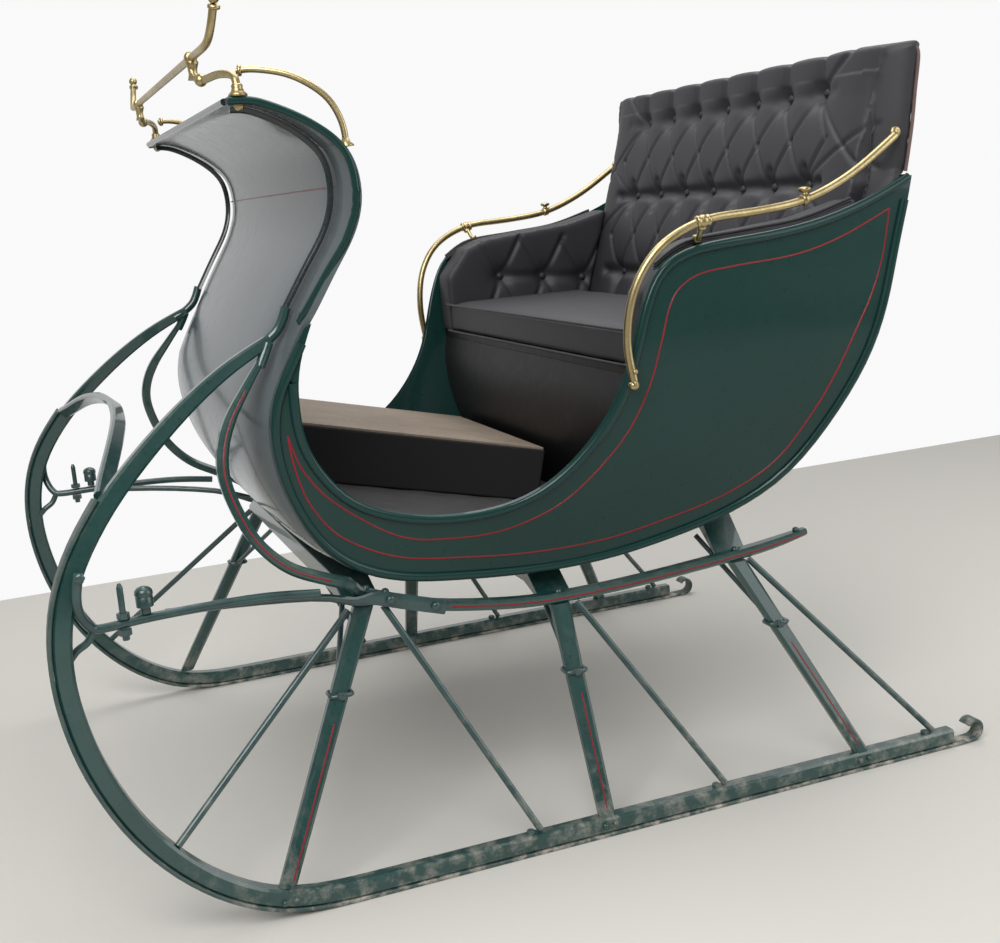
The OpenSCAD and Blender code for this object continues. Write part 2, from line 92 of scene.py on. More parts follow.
class NodePad:
    """Places shader nodes on one node tree and links them."""

    def __init__(self, tree: bpy.types.NodeTree) -> None:
        """Keeps the tree that the nodes go on."""
        self.tree = tree

    def feed(self, socket: bpy.types.NodeSocket, value: object) -> None:
        """Links a socket to an output, or gives it a value."""
        if isinstance(value, bpy.types.NodeSocket):
            self.tree.links.new(value, socket)
        else:
            socket.default_value = value

    def add(self, kind: str, inputs: dict | None = None, **settings: object) -> bpy.types.Node:
        """Adds one node.

        Args:
            kind: The node's type name.
            inputs: Socket names with a value or an output socket for each.
            settings: The node's own settings.

        Returns:
            The new node.
        """
        node = self.tree.nodes.new(kind)
        for key, value in settings.items():
            setattr(node, key, value)
        for key, value in (inputs or {}).items():
            self.feed(node.inputs[key], value)
        return node

    def link(self, a: bpy.types.NodeSocket, b: bpy.types.NodeSocket) -> None:
        """Links an output to an input."""
        self.tree.links.new(a, b)

    def maths(self, operation: str, *values: object) -> bpy.types.NodeSocket:
        """Does arithmetic on sockets or numbers and returns the result's socket."""
        inputs = dict(enumerate(values))
        return self.add("ShaderNodeMath", inputs, operation=operation).outputs[0]

    def blend(self, share: object, a: object, b: object) -> bpy.types.NodeSocket:
        """Mixes colour a with colour b by share and returns the result's socket."""
        # The colour sockets' numbers on a mix node
        inputs = {0: share, 6: a, 7: b}
        return self.add("ShaderNodeMix", inputs, data_type="RGBA").outputs[2]

    def painted(self, geometry: bpy.types.NodeSocket, source: bpy.types.Node) -> None:
        """Ends a geometry tree: made real, in the material it is given."""
        real = self.add("GeometryNodeRealizeInstances", {"Geometry": geometry})
        paint = self.add("GeometryNodeSetMaterial", {"Geometry": real.outputs["Geometry"],
                                                     "Material": source.outputs["Material"]})
        self.add("NodeGroupOutput", {"Geometry": paint.outputs["Geometry"]})


def shader_group(name: str, sizes: dict[str, float], results: Sequence[str],
                 build: Callable[[NodePad, bpy.types.Node], dict]) -> bpy.types.NodeTree:
    """Builds a shader node group once.

    Args:
        name: The group's name.
        sizes: Input names and their first values.
        results: Output names.
        build: Places the nodes and returns a socket for each output name.

    Returns:
        The group.
    """
    if name in bpy.data.node_groups:
        return bpy.data.node_groups[name]
    tree = bpy.data.node_groups.new(name, "ShaderNodeTree")
    for key, value in sizes.items():
        socket = tree.interface.new_socket(key, in_out="INPUT", socket_type="NodeSocketFloat")
        socket.default_value = value
    for key in results:
        tree.interface.new_socket(key, in_out="OUTPUT", socket_type="NodeSocketFloat")
    pad = NodePad(tree)
    source = tree.nodes.new("NodeGroupInput")
    sink = tree.nodes.new("NodeGroupOutput")
    for key, socket in build(pad, source).items():
        pad.link(socket, sink.inputs[key])
    return tree


def mottle_group() -> bpy.types.NodeTree:
    """Uneven colour and gloss: a broad noise and a fine one, on Object coordinates."""

    def build(pad: NodePad, source: bpy.types.Node) -> dict:
        """Mixes the two noises."""
        place = pad.add("ShaderNodeTexCoord").outputs["Object"]
        broad = pad.add("ShaderNodeTexNoise",
                        {"Vector": place, "Scale": source.outputs["Scale"], "Detail": 4.0})
        fine_scale = pad.maths("MULTIPLY", source.outputs["Scale"], 11.0)
        fine = pad.add("ShaderNodeTexNoise", {"Vector": place, "Scale": fine_scale, "Detail": 6.0})
        mixed = pad.maths("ADD", pad.maths("MULTIPLY", broad.outputs["Fac"], 0.65),
                          pad.maths("MULTIPLY", fine.outputs["Fac"], 0.35))
        return {"Mottle": mixed, "Fine": fine.outputs["Fac"]}

    return shader_group("mottle", {"Scale": 6.0}, ("Mottle", "Fine"), build)


def dust_group() -> bpy.types.NodeTree:
    """Dust and scuffs that grow towards the ground and on faces that look up."""

    def build(pad: NodePad, source: bpy.types.Node) -> dict:
        """Masks the noise by height and by slope."""
        place = pad.add("ShaderNodeTexCoord").outputs["Object"]
        height = pad.add("ShaderNodeSeparateXYZ", {"Vector": place}).outputs["Z"]
        low = pad.maths("SUBTRACT", 1.0, pad.maths("DIVIDE", height, source.outputs["Reach"]))
        low = pad.maths("MAXIMUM", low, 0.0)
        up = pad.add("ShaderNodeSeparateXYZ",
                     {"Vector": pad.add("ShaderNodeNewGeometry").outputs["Normal"]}).outputs["Z"]
        up = pad.maths("MAXIMUM", up, 0.0)
        noise = pad.add("ShaderNodeTexNoise", {"Vector": place, "Scale": 38.0, "Detail": 7.0,
                                               "Roughness": 0.7}).outputs["Fac"]
        spots = pad.maths("MAXIMUM", pad.maths("SUBTRACT", noise, 0.46), 0.0)
        spread = pad.maths("ADD", pad.maths("MULTIPLY", low, 1.6), pad.maths("MULTIPLY", up, 0.35))
        mask = pad.maths("MULTIPLY", pad.maths("MULTIPLY", spots, 5.0),
                         pad.maths("MULTIPLY", spread, source.outputs["Amount"]))
        return {"Dust": pad.maths("MINIMUM", mask, 1.0)}

    return shader_group("dust", {"Reach": 0.12, "Amount": 1.0}, ("Dust",), build)


def grain_group() -> bpy.types.NodeTree:
    """Leather grain: small cells with creases, and slack wrinkles."""

    def build(pad: NodePad, source: bpy.types.Node) -> dict:
        """Adds the cells to the wrinkles."""
        place = pad.add("ShaderNodeTexCoord").outputs["Object"]
        cells = pad.add("ShaderNodeTexVoronoi",
                        {"Vector": place, "Scale": source.outputs["Scale"]},
                        feature="DISTANCE_TO_EDGE").outputs["Distance"]
        wrinkle_scale = pad.maths("MULTIPLY", source.outputs["Scale"], 0.045)
        wrinkles = pad.add("ShaderNodeTexNoise", {"Vector": place, "Scale": wrinkle_scale,
                                                  "Detail": 5.0, "Distortion": 0.9})
        cell_height = pad.maths("MULTIPLY", pad.maths("MINIMUM", cells, 0.25), 0.9)
        slack = pad.maths("MULTIPLY", wrinkles.outputs["Fac"], source.outputs["Wrinkle"])
        height = pad.maths("ADD", cell_height, slack)
        return {"Height": height, "Wear": wrinkles.outputs["Fac"]}

    sizes = {"Scale": 420.0, "Wrinkle": 1.0}
    return shader_group("leather_grain", sizes, ("Height", "Wear"), build)


@dataclass(frozen=True)
class Finish:
    """A painted, metal or leather finish with its own wear."""

    name: str
    colour: Colour
    worn: Colour
    roughness: float
    metallic: float = 0.0
    coat: float = 0.0
    mottle: float = 0.25
    mottle_scale: float = 6.0
    dust: float = 0.0
    dust_reach: float = 0.12
    grain: float = 0.0
    grain_scale: float = 420.0
    bump: float = 0.02
    sheen: float = 0.0
    specular: float = 0.5
    dust_colour: Colour = (0.36, 0.33, 0.28, 1.0)

    def material(self) -> bpy.types.Material:
        """Builds the material once and returns it."""
        found = bpy.data.materials.get(self.name)
        if found:
            return found
        made = bpy.data.materials.new(self.name)
        made.use_nodes = True
        tree = made.node_tree
        tree.nodes.clear()
        pad = NodePad(tree)
        shader = pad.add("ShaderNodeBsdfPrincipled", {
            "Metallic": self.metallic, "Coat Weight": self.coat, "Coat Roughness": 0.04,
            "Sheen Weight": self.sheen, "Sheen Roughness": 0.6,
            "Specular IOR Level": self.specular})
        out = pad.add("ShaderNodeOutputMaterial", {"Surface": shader.outputs["BSDF"]})
        out.is_active_output = True
        mottle = pad.add("ShaderNodeGroup", {"Scale": self.mottle_scale},
                         node_tree=mottle_group())
        spread = pad.add("ShaderNodeMapRange", {"Value": mottle.outputs["Mottle"], "From Min": 0.38,
                                                "From Max": 0.66, "To Min": 0.0,
                                                "To Max": self.mottle}).outputs["Result"]
        colour = pad.blend(spread, self.colour, self.worn)
        rough = pad.maths("ADD", self.roughness,
                          pad.maths("MULTIPLY", pad.maths("SUBTRACT", mottle.outputs["Fine"], 0.5),
                                    0.16))
        height = mottle.outputs["Fine"]
        if self.grain:
            grain = pad.add("ShaderNodeGroup", {"Scale": self.grain_scale, "Wrinkle": self.grain},
                            node_tree=grain_group())
            height = grain.outputs["Height"]
            rubbed = pad.add("ShaderNodeMapRange", {"Value": grain.outputs["Wear"],
                                                    "From Min": 0.52, "From Max": 0.72,
                                                    "To Max": 0.5}).outputs["Result"]
            colour = pad.blend(rubbed, colour, self.worn)
        if self.dust:
            dust = pad.add("ShaderNodeGroup", {"Reach": self.dust_reach, "Amount": self.dust},
                           node_tree=dust_group())
            colour = pad.blend(dust.outputs["Dust"], colour, self.dust_colour)
            rough = pad.maths("ADD", rough, pad.maths("MULTIPLY", dust.outputs["Dust"], 0.5))
        pad.link(colour, shader.inputs["Base Color"])
        pad.link(rough, shader.inputs["Roughness"])
        bump = pad.add("ShaderNodeBump", {"Height": height, "Strength": min(1.0, self.bump * 12),
                                          "Distance": self.bump * 0.02})
        pad.link(bump.outputs["Normal"], shader.inputs["Normal"])
        return made


def rgb(r: float, g: float, b: float) -> Colour:
    """A linear colour with full alpha."""
    return (r, g, b, 1.0)


COACH_GREEN = Finish("coach_green", rgb(0.0042, 0.027, 0.0235), rgb(0.007, 0.033, 0.029), 0.3,
                     coat=0.35, specular=0.15, mottle=0.5, bump=0.003)
GEAR_GREEN = Finish("gear_green", rgb(0.0065, 0.036, 0.032), rgb(0.013, 0.050, 0.046), 0.30,
                    coat=0.6, mottle=0.7, mottle_scale=14.0, bump=0.012, dust=0.28,
                    dust_reach=0.16)
# The dash's base colour is a painted reflection: a mid grey-green that stands in for the room
# mirrored in its dark green paint
DASH_GREY_PAINTED_REFLECTION = Finish("dash_painted_reflection", rgb(0.072, 0.088, 0.094), rgb(0.105, 0.118, 0.124), 0.16,
                    coat=0.12, specular=0.12, mottle=0.6, mottle_scale=4.0, bump=0.004)
RIB_BLACK = Finish("rib_black", rgb(0.006, 0.011, 0.012), rgb(0.02, 0.03, 0.032), 0.25, coat=0.35,
                   mottle=0.4, mottle_scale=20.0, bump=0.008)
SHOE_WORN = Finish("shoe_worn", rgb(0.022, 0.052, 0.048), rgb(0.060, 0.080, 0.074), 0.5, mottle=0.9,
                   mottle_scale=26.0, bump=0.03, dust=0.7, dust_reach=0.07)
IRON_PAINT = Finish("iron_paint", rgb(0.011, 0.036, 0.035), rgb(0.03, 0.07, 0.068), 0.33,
                    coat=0.4, mottle=0.7, mottle_scale=24.0, bump=0.02, dust=0.25, dust_reach=0.3)
OLD_BRASS = Finish("old_brass", rgb(0.50, 0.41, 0.22), rgb(0.30, 0.23, 0.11), 0.36, metallic=1.0,
                   mottle=0.85, mottle_scale=16.0, bump=0.012)
BLACK_LEATHER = Finish("black_leather", rgb(0.0235, 0.0235, 0.029), rgb(0.064, 0.062, 0.069), 0.40,
                       mottle=0.55, mottle_scale=5.0, grain=1.0, bump=0.05, sheen=0.12)
# The fall's leather is a darker copy of the black leather: painted shade that dims the light it
# takes from the floor
FALL_LEATHER_PAINTED_SHADE = Finish("fall_leather_painted_shade", rgb(0.007, 0.0069, 0.0075), rgb(0.014, 0.0135, 0.014), 0.45,
                      mottle=0.5, mottle_scale=4.0, grain=0.6, grain_scale=520.0, bump=0.035,
                      specular=0.25)
BROWN_WELT = Finish("brown_welt", rgb(0.085, 0.05, 0.043), rgb(0.14, 0.09, 0.075), 0.55,
                    mottle=0.6, mottle_scale=40.0, grain=0.6, bump=0.03)
BLACK_CARPET = Finish("black_carpet", rgb(0.006, 0.006, 0.007), rgb(0.016, 0.015, 0.015), 0.95,
                      mottle=0.8, mottle_scale=30.0, grain=1.6, grain_scale=650.0, bump=0.12,
                      sheen=0.08, specular=0.2)
# The floor carpet is a slightly lighter copy of the box's black carpet: painted light for the floor
# that lies in the shade of the box and fall
FLOOR_CARPET_PAINTED_LIGHT = Finish("floor_carpet", rgb(0.007, 0.0066, 0.0068), rgb(0.022, 0.020, 0.020), 0.95,
                      mottle=0.8, mottle_scale=30.0, grain=1.6, grain_scale=420.0, bump=0.16,
                      sheen=0.12, specular=0.2)
TAN_BOARD = Finish("tan_board", rgb(0.24, 0.19, 0.145), rgb(0.15, 0.115, 0.085), 0.7, mottle=0.8,
                   mottle_scale=9.0, bump=0.03)
CRIMSON_LINE = Finish("crimson_line", rgb(0.20, 0.008, 0.014), rgb(0.13, 0.006, 0.010), 0.4,
                      coat=0.2, specular=0.25, mottle=0.5, mottle_scale=30.0, bump=0.004)


# --- meshes ---------------------------------------------------------------------------------


def linked(name: str, mesh: bpy.types.Mesh) -> bpy.types.Object:
    """Puts a mesh in the scene as an object at the origin."""
    piece = bpy.data.objects.new(name, mesh)
    bpy.context.scene.collection.objects.link(piece)
    return piece


def new_piece(name: str, verts: Sequence, faces: Sequence, smooth: bool = True) -> bpy.types.Object:
    """Makes a mesh object at the origin.

    Args:
        name: The piece's name.
        verts: Points in metres.
        faces: Corner numbers of each face.
        smooth: Whether the faces are shaded smooth.

    Returns:
        The object, linked into the scene.
    """
    mesh = bpy.data.meshes.new(name)
    mesh.from_pydata([tuple(v) for v in verts], [], [tuple(f) for f in faces])
    mesh.update()
    if smooth:
        mesh.polygons.foreach_set("use_smooth", [True] * len(mesh.polygons))
    return linked(name, mesh)


def settle(piece: bpy.types.Object) -> bpy.types.Object:
    """Turns a piece's modifiers into plain mesh."""
    graph = bpy.context.evaluated_depsgraph_get()
    mesh = bpy.data.meshes.new_from_object(piece.evaluated_get(graph), depsgraph=graph)
    piece.modifiers.clear()
    piece.data = mesh
    return piece


def dress(piece: bpy.types.Object, finish: Finish) -> bpy.types.Object:
    """Gives a piece one finish, puts it on the sleigh and reports it."""
    piece.data.materials.clear()
    piece.data.materials.append(finish.material())
    piece.data.polygons.foreach_set("material_index", [0] * len(piece.data.polygons))
    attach(piece, "root")
    log.info("%s: %d faces", piece.name, len(piece.data.polygons))
    return piece


def outward(mesh: bpy.types.Mesh) -> None:
    """Merges doubles and points every face of a closed mesh outwards."""
    bm = bmesh.new()
    bm.from_mesh(mesh)
    bmesh.ops.remove_doubles(bm, verts=bm.verts, dist=1e-6)
    bmesh.ops.recalc_face_normals(bm, faces=bm.faces)
    bm.to_mesh(mesh)
    bm.free()


def merged(node: bpy.types.Object, name: str) -> bpy.types.Object:
    """A copy of a CAD node with its corners merged and its flat pairs joined to quads."""
    bm = bmesh.new()
    bm.from_mesh(node.data)
    bmesh.ops.remove_doubles(bm, verts=bm.verts, dist=WELD)
    bmesh.ops.join_triangles(bm, faces=bm.faces, angle_face_threshold=math.radians(14),
                             angle_shape_threshold=math.radians(50))
    mesh = bpy.data.meshes.new(name)
    bm.to_mesh(mesh)
    bm.free()
    return linked(name, mesh)


def smoothed(node: bpy.types.Object, name: str, sharp: float, levels: int) -> bpy.types.Object:
    """A smooth copy of a CAD node whose real edges stay crisp.

    Args:
        node: The CAD node.
        name: The new piece's name.
        sharp: Edges that bend more than this many degrees stay crisp.
        levels: Steps of subdivision.

    Returns:
        The copy, which stands for the node.
    """
    piece = merged(node, name)
    bm = bmesh.new()
    bm.from_mesh(piece.data)
    crease = bm.edges.layers.float.get("crease_edge") or bm.edges.layers.float.new("crease_edge")
    limit = math.radians(sharp)
    for edge in bm.edges:
        if len(edge.link_faces) == 2 and edge.calc_face_angle(0.0) > limit:
            edge[crease] = 1.0
            edge.smooth = False
    for face in bm.faces:
        face.smooth = True
    bm.to_mesh(piece.data)
    bm.free()
    if levels:
        divided(piece, levels)
    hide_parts(node.name)
    return piece


def dress_node(nodes: dict[str, bpy.types.Object], node: str, name: str, finish: Finish,
               sharp: float = 35.0, levels: int = 0) -> bpy.types.Object:
    """Makes a node's smooth copy in one finish.

    Args:
        nodes: The CAD nodes by name.
        node: The node to copy.
        name: The copy's name.
        finish: The copy's finish.
        sharp: Edges that bend more than this many degrees stay crisp.
        levels: Steps of subdivision.

    Returns:
        The copy.
    """
    return dress(smoothed(nodes[node], name, sharp, levels), finish)


def lathe(name: str, profile: Sequence[tuple[float, float]], base: Point, axis: Point,
          segments: int = 20) -> bpy.types.Object:
    """Turns a profile into a closed round piece.

    Args:
        name: The piece's name.
        profile: [radius, distance along the axis] points; the ends are closed.
        base: Where the axis starts.
        axis: The way it points.
        segments: Faces round it.

    Returns:
        The piece.
    """
    turn = Vector(axis).normalized().to_track_quat("Z", "Y").to_matrix()
    verts = []
    for radius, along in profile:
        for k in range(segments):
            a = 2 * math.pi * k / segments
            verts.append(Vector(base) + turn @ Vector((radius * math.cos(a), radius * math.sin(a),
                                                       along)))
    faces = [(i * segments + k, i * segments + (k + 1) % segments,
              (i + 1) * segments + (k + 1) % segments, (i + 1) * segments + k)
             for i in range(len(profile) - 1) for k in range(segments)]
    faces.append(tuple(range(segments - 1, -1, -1)))
    faces.append(tuple((len(profile) - 1) * segments + k for k in range(segments)))
    piece = new_piece(name, verts, faces)
    outward(piece.data)
    return piece


def joined(name: str, pieces: Iterable[bpy.types.Object]) -> bpy.types.Object:
    """Joins several pieces' meshes into one new piece."""
    bm = bmesh.new()
    for piece in list(pieces):
        bm.from_mesh(piece.data)
        mesh = piece.data
        bpy.data.objects.remove(piece)
        bpy.data.meshes.remove(mesh)
    mesh = bpy.data.meshes.new(name)
    bm.to_mesh(mesh)
    bm.free()
    mesh.polygons.foreach_set("use_smooth", [True] * len(mesh.polygons))
    return linked(name, mesh)


def ball(radius: float, steps: int = 9) -> list[tuple[float, float]]:
    """A ball's lathe profile that stands on its lowest point."""
    return [(max(1e-4, radius * math.sin(math.pi * k / steps)),
             radius * (1 - math.cos(math.pi * k / steps))) for k in range(steps + 1)]


def smooth_path(points: Sequence[Point], steps: int = 8) -> list[Vector]:
    """A smooth path through points, with steps on each span."""
    p = [Vector(q) for q in points]
    last = len(p) - 1
    path = []
    for i in range(last):
        a, b, c, d = (p[min(max(k, 0), last)] for k in range(i - 1, i + 3))
        for k in range(steps):
            t = k / steps
            path.append(0.5 * (2 * b + (c - a) * t + (2 * a - 5 * b + 4 * c - d) * t * t
                               + (3 * b - a - 3 * c + d) * t ** 3))
    path.append(p[-1])
    return path


# --- geometry nodes -------------------------------------------------------------------------


def node_tree(name: str, sizes: dict[str, tuple[str, object]]) -> tuple[bpy.types.NodeTree, dict]:
    """Starts a geometry node tree with named inputs.

    Args:
        name: The tree's name.
        sizes: Input names with their socket type and first value.

    Returns:
        The tree, and each input's identifier by name.
    """
    tree = bpy.data.node_groups.new(name, "GeometryNodeTree")
    tree.interface.new_socket("Geometry", in_out="INPUT", socket_type="NodeSocketGeometry")
    names = {}
    for key, (kind, value) in sizes.items():
        socket = tree.interface.new_socket(key, in_out="INPUT", socket_type=kind)
        if value is not None:
            socket.default_value = value
        names[key] = socket.identifier
    tree.interface.new_socket("Geometry", in_out="OUTPUT", socket_type="NodeSocketGeometry")
    return tree, names


class LineWork:
    """A round line that follows a path, used for fine lines, welts, beads and bands."""

    def __init__(self) -> None:
        """Builds the node tree."""
        self.tree, self.names = node_tree("line_along_path", {
            "Radius": ("NodeSocketFloat", 0.001), "Sides": ("NodeSocketInt", 6),
            "Material": ("NodeSocketMaterial", None)})
        pad = NodePad(self.tree)
        source = pad.add("NodeGroupInput")
        curve = pad.add("GeometryNodeMeshToCurve", {"Mesh": source.outputs["Geometry"]})
        profile = pad.add("GeometryNodeCurvePrimitiveCircle",
                          {"Resolution": source.outputs["Sides"],
                           "Radius": source.outputs["Radius"]})
        swept = pad.add("GeometryNodeCurveToMesh",
                        {"Curve": curve.outputs[0], "Profile Curve": profile.outputs["Curve"],
                         "Fill Caps": True})
        soft = pad.add("GeometryNodeSetShadeSmooth", {"Geometry": swept.outputs["Mesh"]})
        pad.painted(soft.outputs["Geometry"], source)

    def draw(self, name: str, paths: Sequence[Sequence[Vector]], radius: float, finish: Finish,
             closed: bool = False, sides: int = 6) -> bpy.types.Object:
        """Draws a line along each path as one piece.

        Args:
            name: The piece's name.
            paths: The lines' points.
            radius: Half the line's width.
            finish: The line's finish.
            closed: Whether each path joins up with its start.
            sides: Faces round the line.

        Returns:
            The piece, which rides on the sleigh.
        """
        verts: list[tuple] = []
        edges: list[tuple[int, int]] = []
        for path in paths:
            first = len(verts)
            verts += [tuple(p) for p in path]
            edges += [(first + i, first + i + 1) for i in range(len(path) - 1)]
            if closed:
                edges.append((len(verts) - 1, first))
        mesh = bpy.data.meshes.new(name)
        mesh.from_pydata(verts, edges, [])
        piece = linked(name, mesh)
        work = piece.modifiers.new("line", "NODES")
        work.node_group = self.tree
        work[self.names["Radius"]] = radius
        work[self.names["Sides"]] = sides
        work[self.names["Material"]] = finish.material()
        settle(piece)
        outward(piece.data)
        return dress(piece, finish)


class HeadWork:
    """Bolt heads, screw heads and buttons, set on points and turned to face out."""

    def __init__(self) -> None:
        """Builds the node tree."""
        self.tree, self.names = node_tree("heads_on_points", {
            "Radius": ("NodeSocketFloat", 0.006), "Height": ("NodeSocketFloat", 0.004),
            "Sides": ("NodeSocketInt", 6), "Dome": ("NodeSocketFloat", 0.5),
            "Material": ("NodeSocketMaterial", None)})
        pad = NodePad(self.tree)
        source = pad.add("NodeGroupInput")
        facing = pad.add("GeometryNodeInputNamedAttribute", {"Name": "facing"},
                         data_type="FLOAT_VECTOR")
        turn = pad.add("FunctionNodeAlignRotationToVector",
                       {"Vector": facing.outputs["Attribute"]}, axis="Z")
        base = pad.add("GeometryNodeMeshCylinder",
                       {"Vertices": source.outputs["Sides"], "Radius": source.outputs["Radius"],
                        "Depth": source.outputs["Height"]})
        dome_radius = pad.maths("MULTIPLY", source.outputs["Radius"], 0.88)
        dome = pad.add("GeometryNodeMeshUVSphere", {"Segments": 14, "Rings": 8,
                                                    "Radius": dome_radius})
        lift = pad.maths("MULTIPLY", source.outputs["Height"], 0.5)
        place = pad.add("ShaderNodeCombineXYZ", {"Z": lift})
        flat = pad.add("ShaderNodeCombineXYZ", {"X": 1.0, "Y": 1.0, "Z": source.outputs["Dome"]})
        crown = pad.add("GeometryNodeTransform", {"Geometry": dome.outputs["Mesh"],
                                                  "Translation": place.outputs["Vector"],
                                                  "Scale": flat.outputs["Vector"]})
        head = pad.add("GeometryNodeJoinGeometry")
        pad.link(base.outputs["Mesh"], head.inputs[0])
        pad.link(crown.outputs["Geometry"], head.inputs[0])
        heads = pad.add("GeometryNodeInstanceOnPoints",
                        {"Points": source.outputs["Geometry"], "Instance": head.outputs["Geometry"],
                         "Rotation": turn.outputs["Rotation"]})
        pad.painted(heads.outputs["Instances"], source)

    def place(self, name: str, spots: Sequence[tuple[Vector, Vector]], radius: float,
              height: float, finish: Finish, sides: int = 6, dome: float = 0.3) -> bpy.types.Object:
        """Sets a head on each spot as one piece.

        Args:
            name: The piece's name.
            spots: Each head's place and the way it faces.
            radius: A head's radius.
            height: A head's height.
            finish: The heads' finish.
            sides: 6 for a hexagon, more for a round head.
            dome: How high the crown stands, as a share of its radius.

        Returns:
            The piece, which rides on the sleigh.
        """
        mesh = bpy.data.meshes.new(name)
        mesh.from_pydata([tuple(p) for p, _ in spots], [], [])
        facing = mesh.attributes.new("facing", "FLOAT_VECTOR", "POINT")
        facing.data.foreach_set("vector", [c for _, n in spots for c in n.normalized()])
        piece = linked(name, mesh)
        work = piece.modifiers.new("heads", "NODES")
        work.node_group = self.tree
        for key, value in (("Radius", radius), ("Height", height), ("Sides", sides),
                           ("Dome", dome), ("Material", finish.material())):
            work[self.names[key]] = value
        settle(piece)
        for face in piece.data.polygons:
            face.use_smooth = len(face.vertices) < 5 and sides > 8
        return dress(piece, finish)


def search_tree(mesh: bpy.types.Mesh) -> BVHTree:
    """A tree over a mesh's faces, for casting rays at it."""
    return BVHTree.FromPolygons([v.co.copy() for v in mesh.vertices],
                                [tuple(p.vertices) for p in mesh.polygons])


class Skin:
    """The outer surface of a CAD node, for laying things on it."""

    def __init__(self, node: bpy.types.Object) -> None:
        """Builds the search tree over the node's triangles."""
        self.tree = search_tree(node.data)

    def across(self, x: float, z: float, side: int, sink: float = 0.0) -> Vector | None:
        """The point of the side that shows at x and z, sunk a little."""
        hit, normal, _, _ = self.tree.ray_cast(Vector((x, 2.0 * side, z)), Vector((0, -side, 0)))
        return None if hit is None else hit - normal * sink

    def line(self, path: Iterable[tuple[float, float]], side: int, sink: float) -> list[Vector]:
        """The path of [x, z] points laid on the side."""
        hits = [self.across(x, z, side, sink) for x, z in path]
        return [h for h in hits if h is not None]


def flat_path(points: Sequence[tuple[float, float]], steps: int = 8) -> list[tuple[float, float]]:
    """A smooth [x, z] path through points given in millimetres, in metres."""
    return [(p.x, p.z) for p in smooth_path([(x * MM, 0.0, z * MM) for x, z in points], steps)]


# --- soft pieces ----------------------------------------------------------------------------


def remeshed(node: bpy.types.Object, name: str, voxel: float, inset: float = 0.0,
             passes: int = 3) -> bpy.types.Object:
    """An even, rounded copy of a CAD solid, to sculpt a pad from.

    Args:
        node: The CAD node.
        name: The new piece's name.
        voxel: Size of its faces.
        inset: How far it is drawn in first.
        passes: How often its corners are softened.

    Returns:
        The copy, which stands for the node.
    """
    piece = merged(node, name)
    if inset:
        middle = np.mean([v.co for v in piece.data.vertices], axis=0)
        for vertex in piece.data.vertices:
            for axis in range(3):
                vertex.co[axis] += inset if vertex.co[axis] < middle[axis] else -inset
    work = piece.modifiers.new("even", "REMESH")
    work.mode = "VOXEL"
    work.voxel_size = voxel
    settle(piece)
    bm = bmesh.new()
    bm.from_mesh(piece.data)
    for _ in range(passes):
        bmesh.ops.smooth_vert(bm, verts=bm.verts, factor=0.5, use_axis_x=True, use_axis_y=True,
                              use_axis_z=True)
    for face in bm.faces:
        face.smooth = True
    bm.to_mesh(piece.data)
    bm.free()
    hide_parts(node.name)
    return piece


def vertex_array(mesh: bpy.types.Mesh) -> tuple[np.ndarray, np.ndarray]:
    """A mesh's points and outward directions as arrays."""
    points = np.empty(len(mesh.vertices) * 3)
    normals = np.empty(len(mesh.vertices) * 3)
    mesh.vertices.foreach_get("co", points)
    mesh.vertex_normals.foreach_get("vector", normals)
    return points.reshape(-1, 3), normals.reshape(-1, 3)


def move_points(piece: bpy.types.Object, points: np.ndarray) -> None:
    """Sets a piece's points."""
    piece.data.vertices.foreach_set("co", points.ravel())
    piece.data.update()


def puff_up(piece: bpy.types.Object, pressure: float, cap: float, frames: int = 20) -> None:
    """Swells a closed pad as stuffed cloth, and keeps each point within cap of its start."""
    start, _ = vertex_array(piece.data)
    scene = bpy.context.scene
    cloth = piece.modifiers.new("stuffing", "CLOTH")
    settings = cloth.settings
    settings.quality = 5
    settings.use_pressure = True
    settings.uniform_pressure_force = pressure
    settings.effector_weights.gravity = 0.0
    settings.tension_stiffness = 30.0
    settings.compression_stiffness = 30.0
    cloth.point_cache.frame_start = 1
    cloth.point_cache.frame_end = frames
    for frame in range(1, frames + 1):
        scene.frame_set(frame)
    settle(piece)
    scene.frame_set(1)
    moved, _ = vertex_array(piece.data)
    step = moved - start
    length = np.linalg.norm(step, axis=1, keepdims=True)
    step *= np.minimum(1.0, cap / np.maximum(length, 1e-9))
    move_points(piece, start + step)


def divided(piece: bpy.types.Object, levels: int = 1) -> None:
    """Subdivides a piece."""
    work = piece.modifiers.new("divide", "SUBSURF")
    work.levels = work.render_levels = levels
    settle(piece)


def eased(piece: bpy.types.Object, width: float, segments: int = 2, limit: bool = False) -> None:
    """Rounds a piece's edges a little."""
    work = piece.modifiers.new("ease", "BEVEL")
    work.width = width
    work.segments = segments
    if limit:
        work.limit_method = "ANGLE"
    settle(piece)


@dataclass(frozen=True)
class Crease:
    """A pleat between two places on a pad: how deep it is, as a share, and how wide."""

    start: tuple[float, float]
    end: tuple[float, float]
    depth: float
    width: float


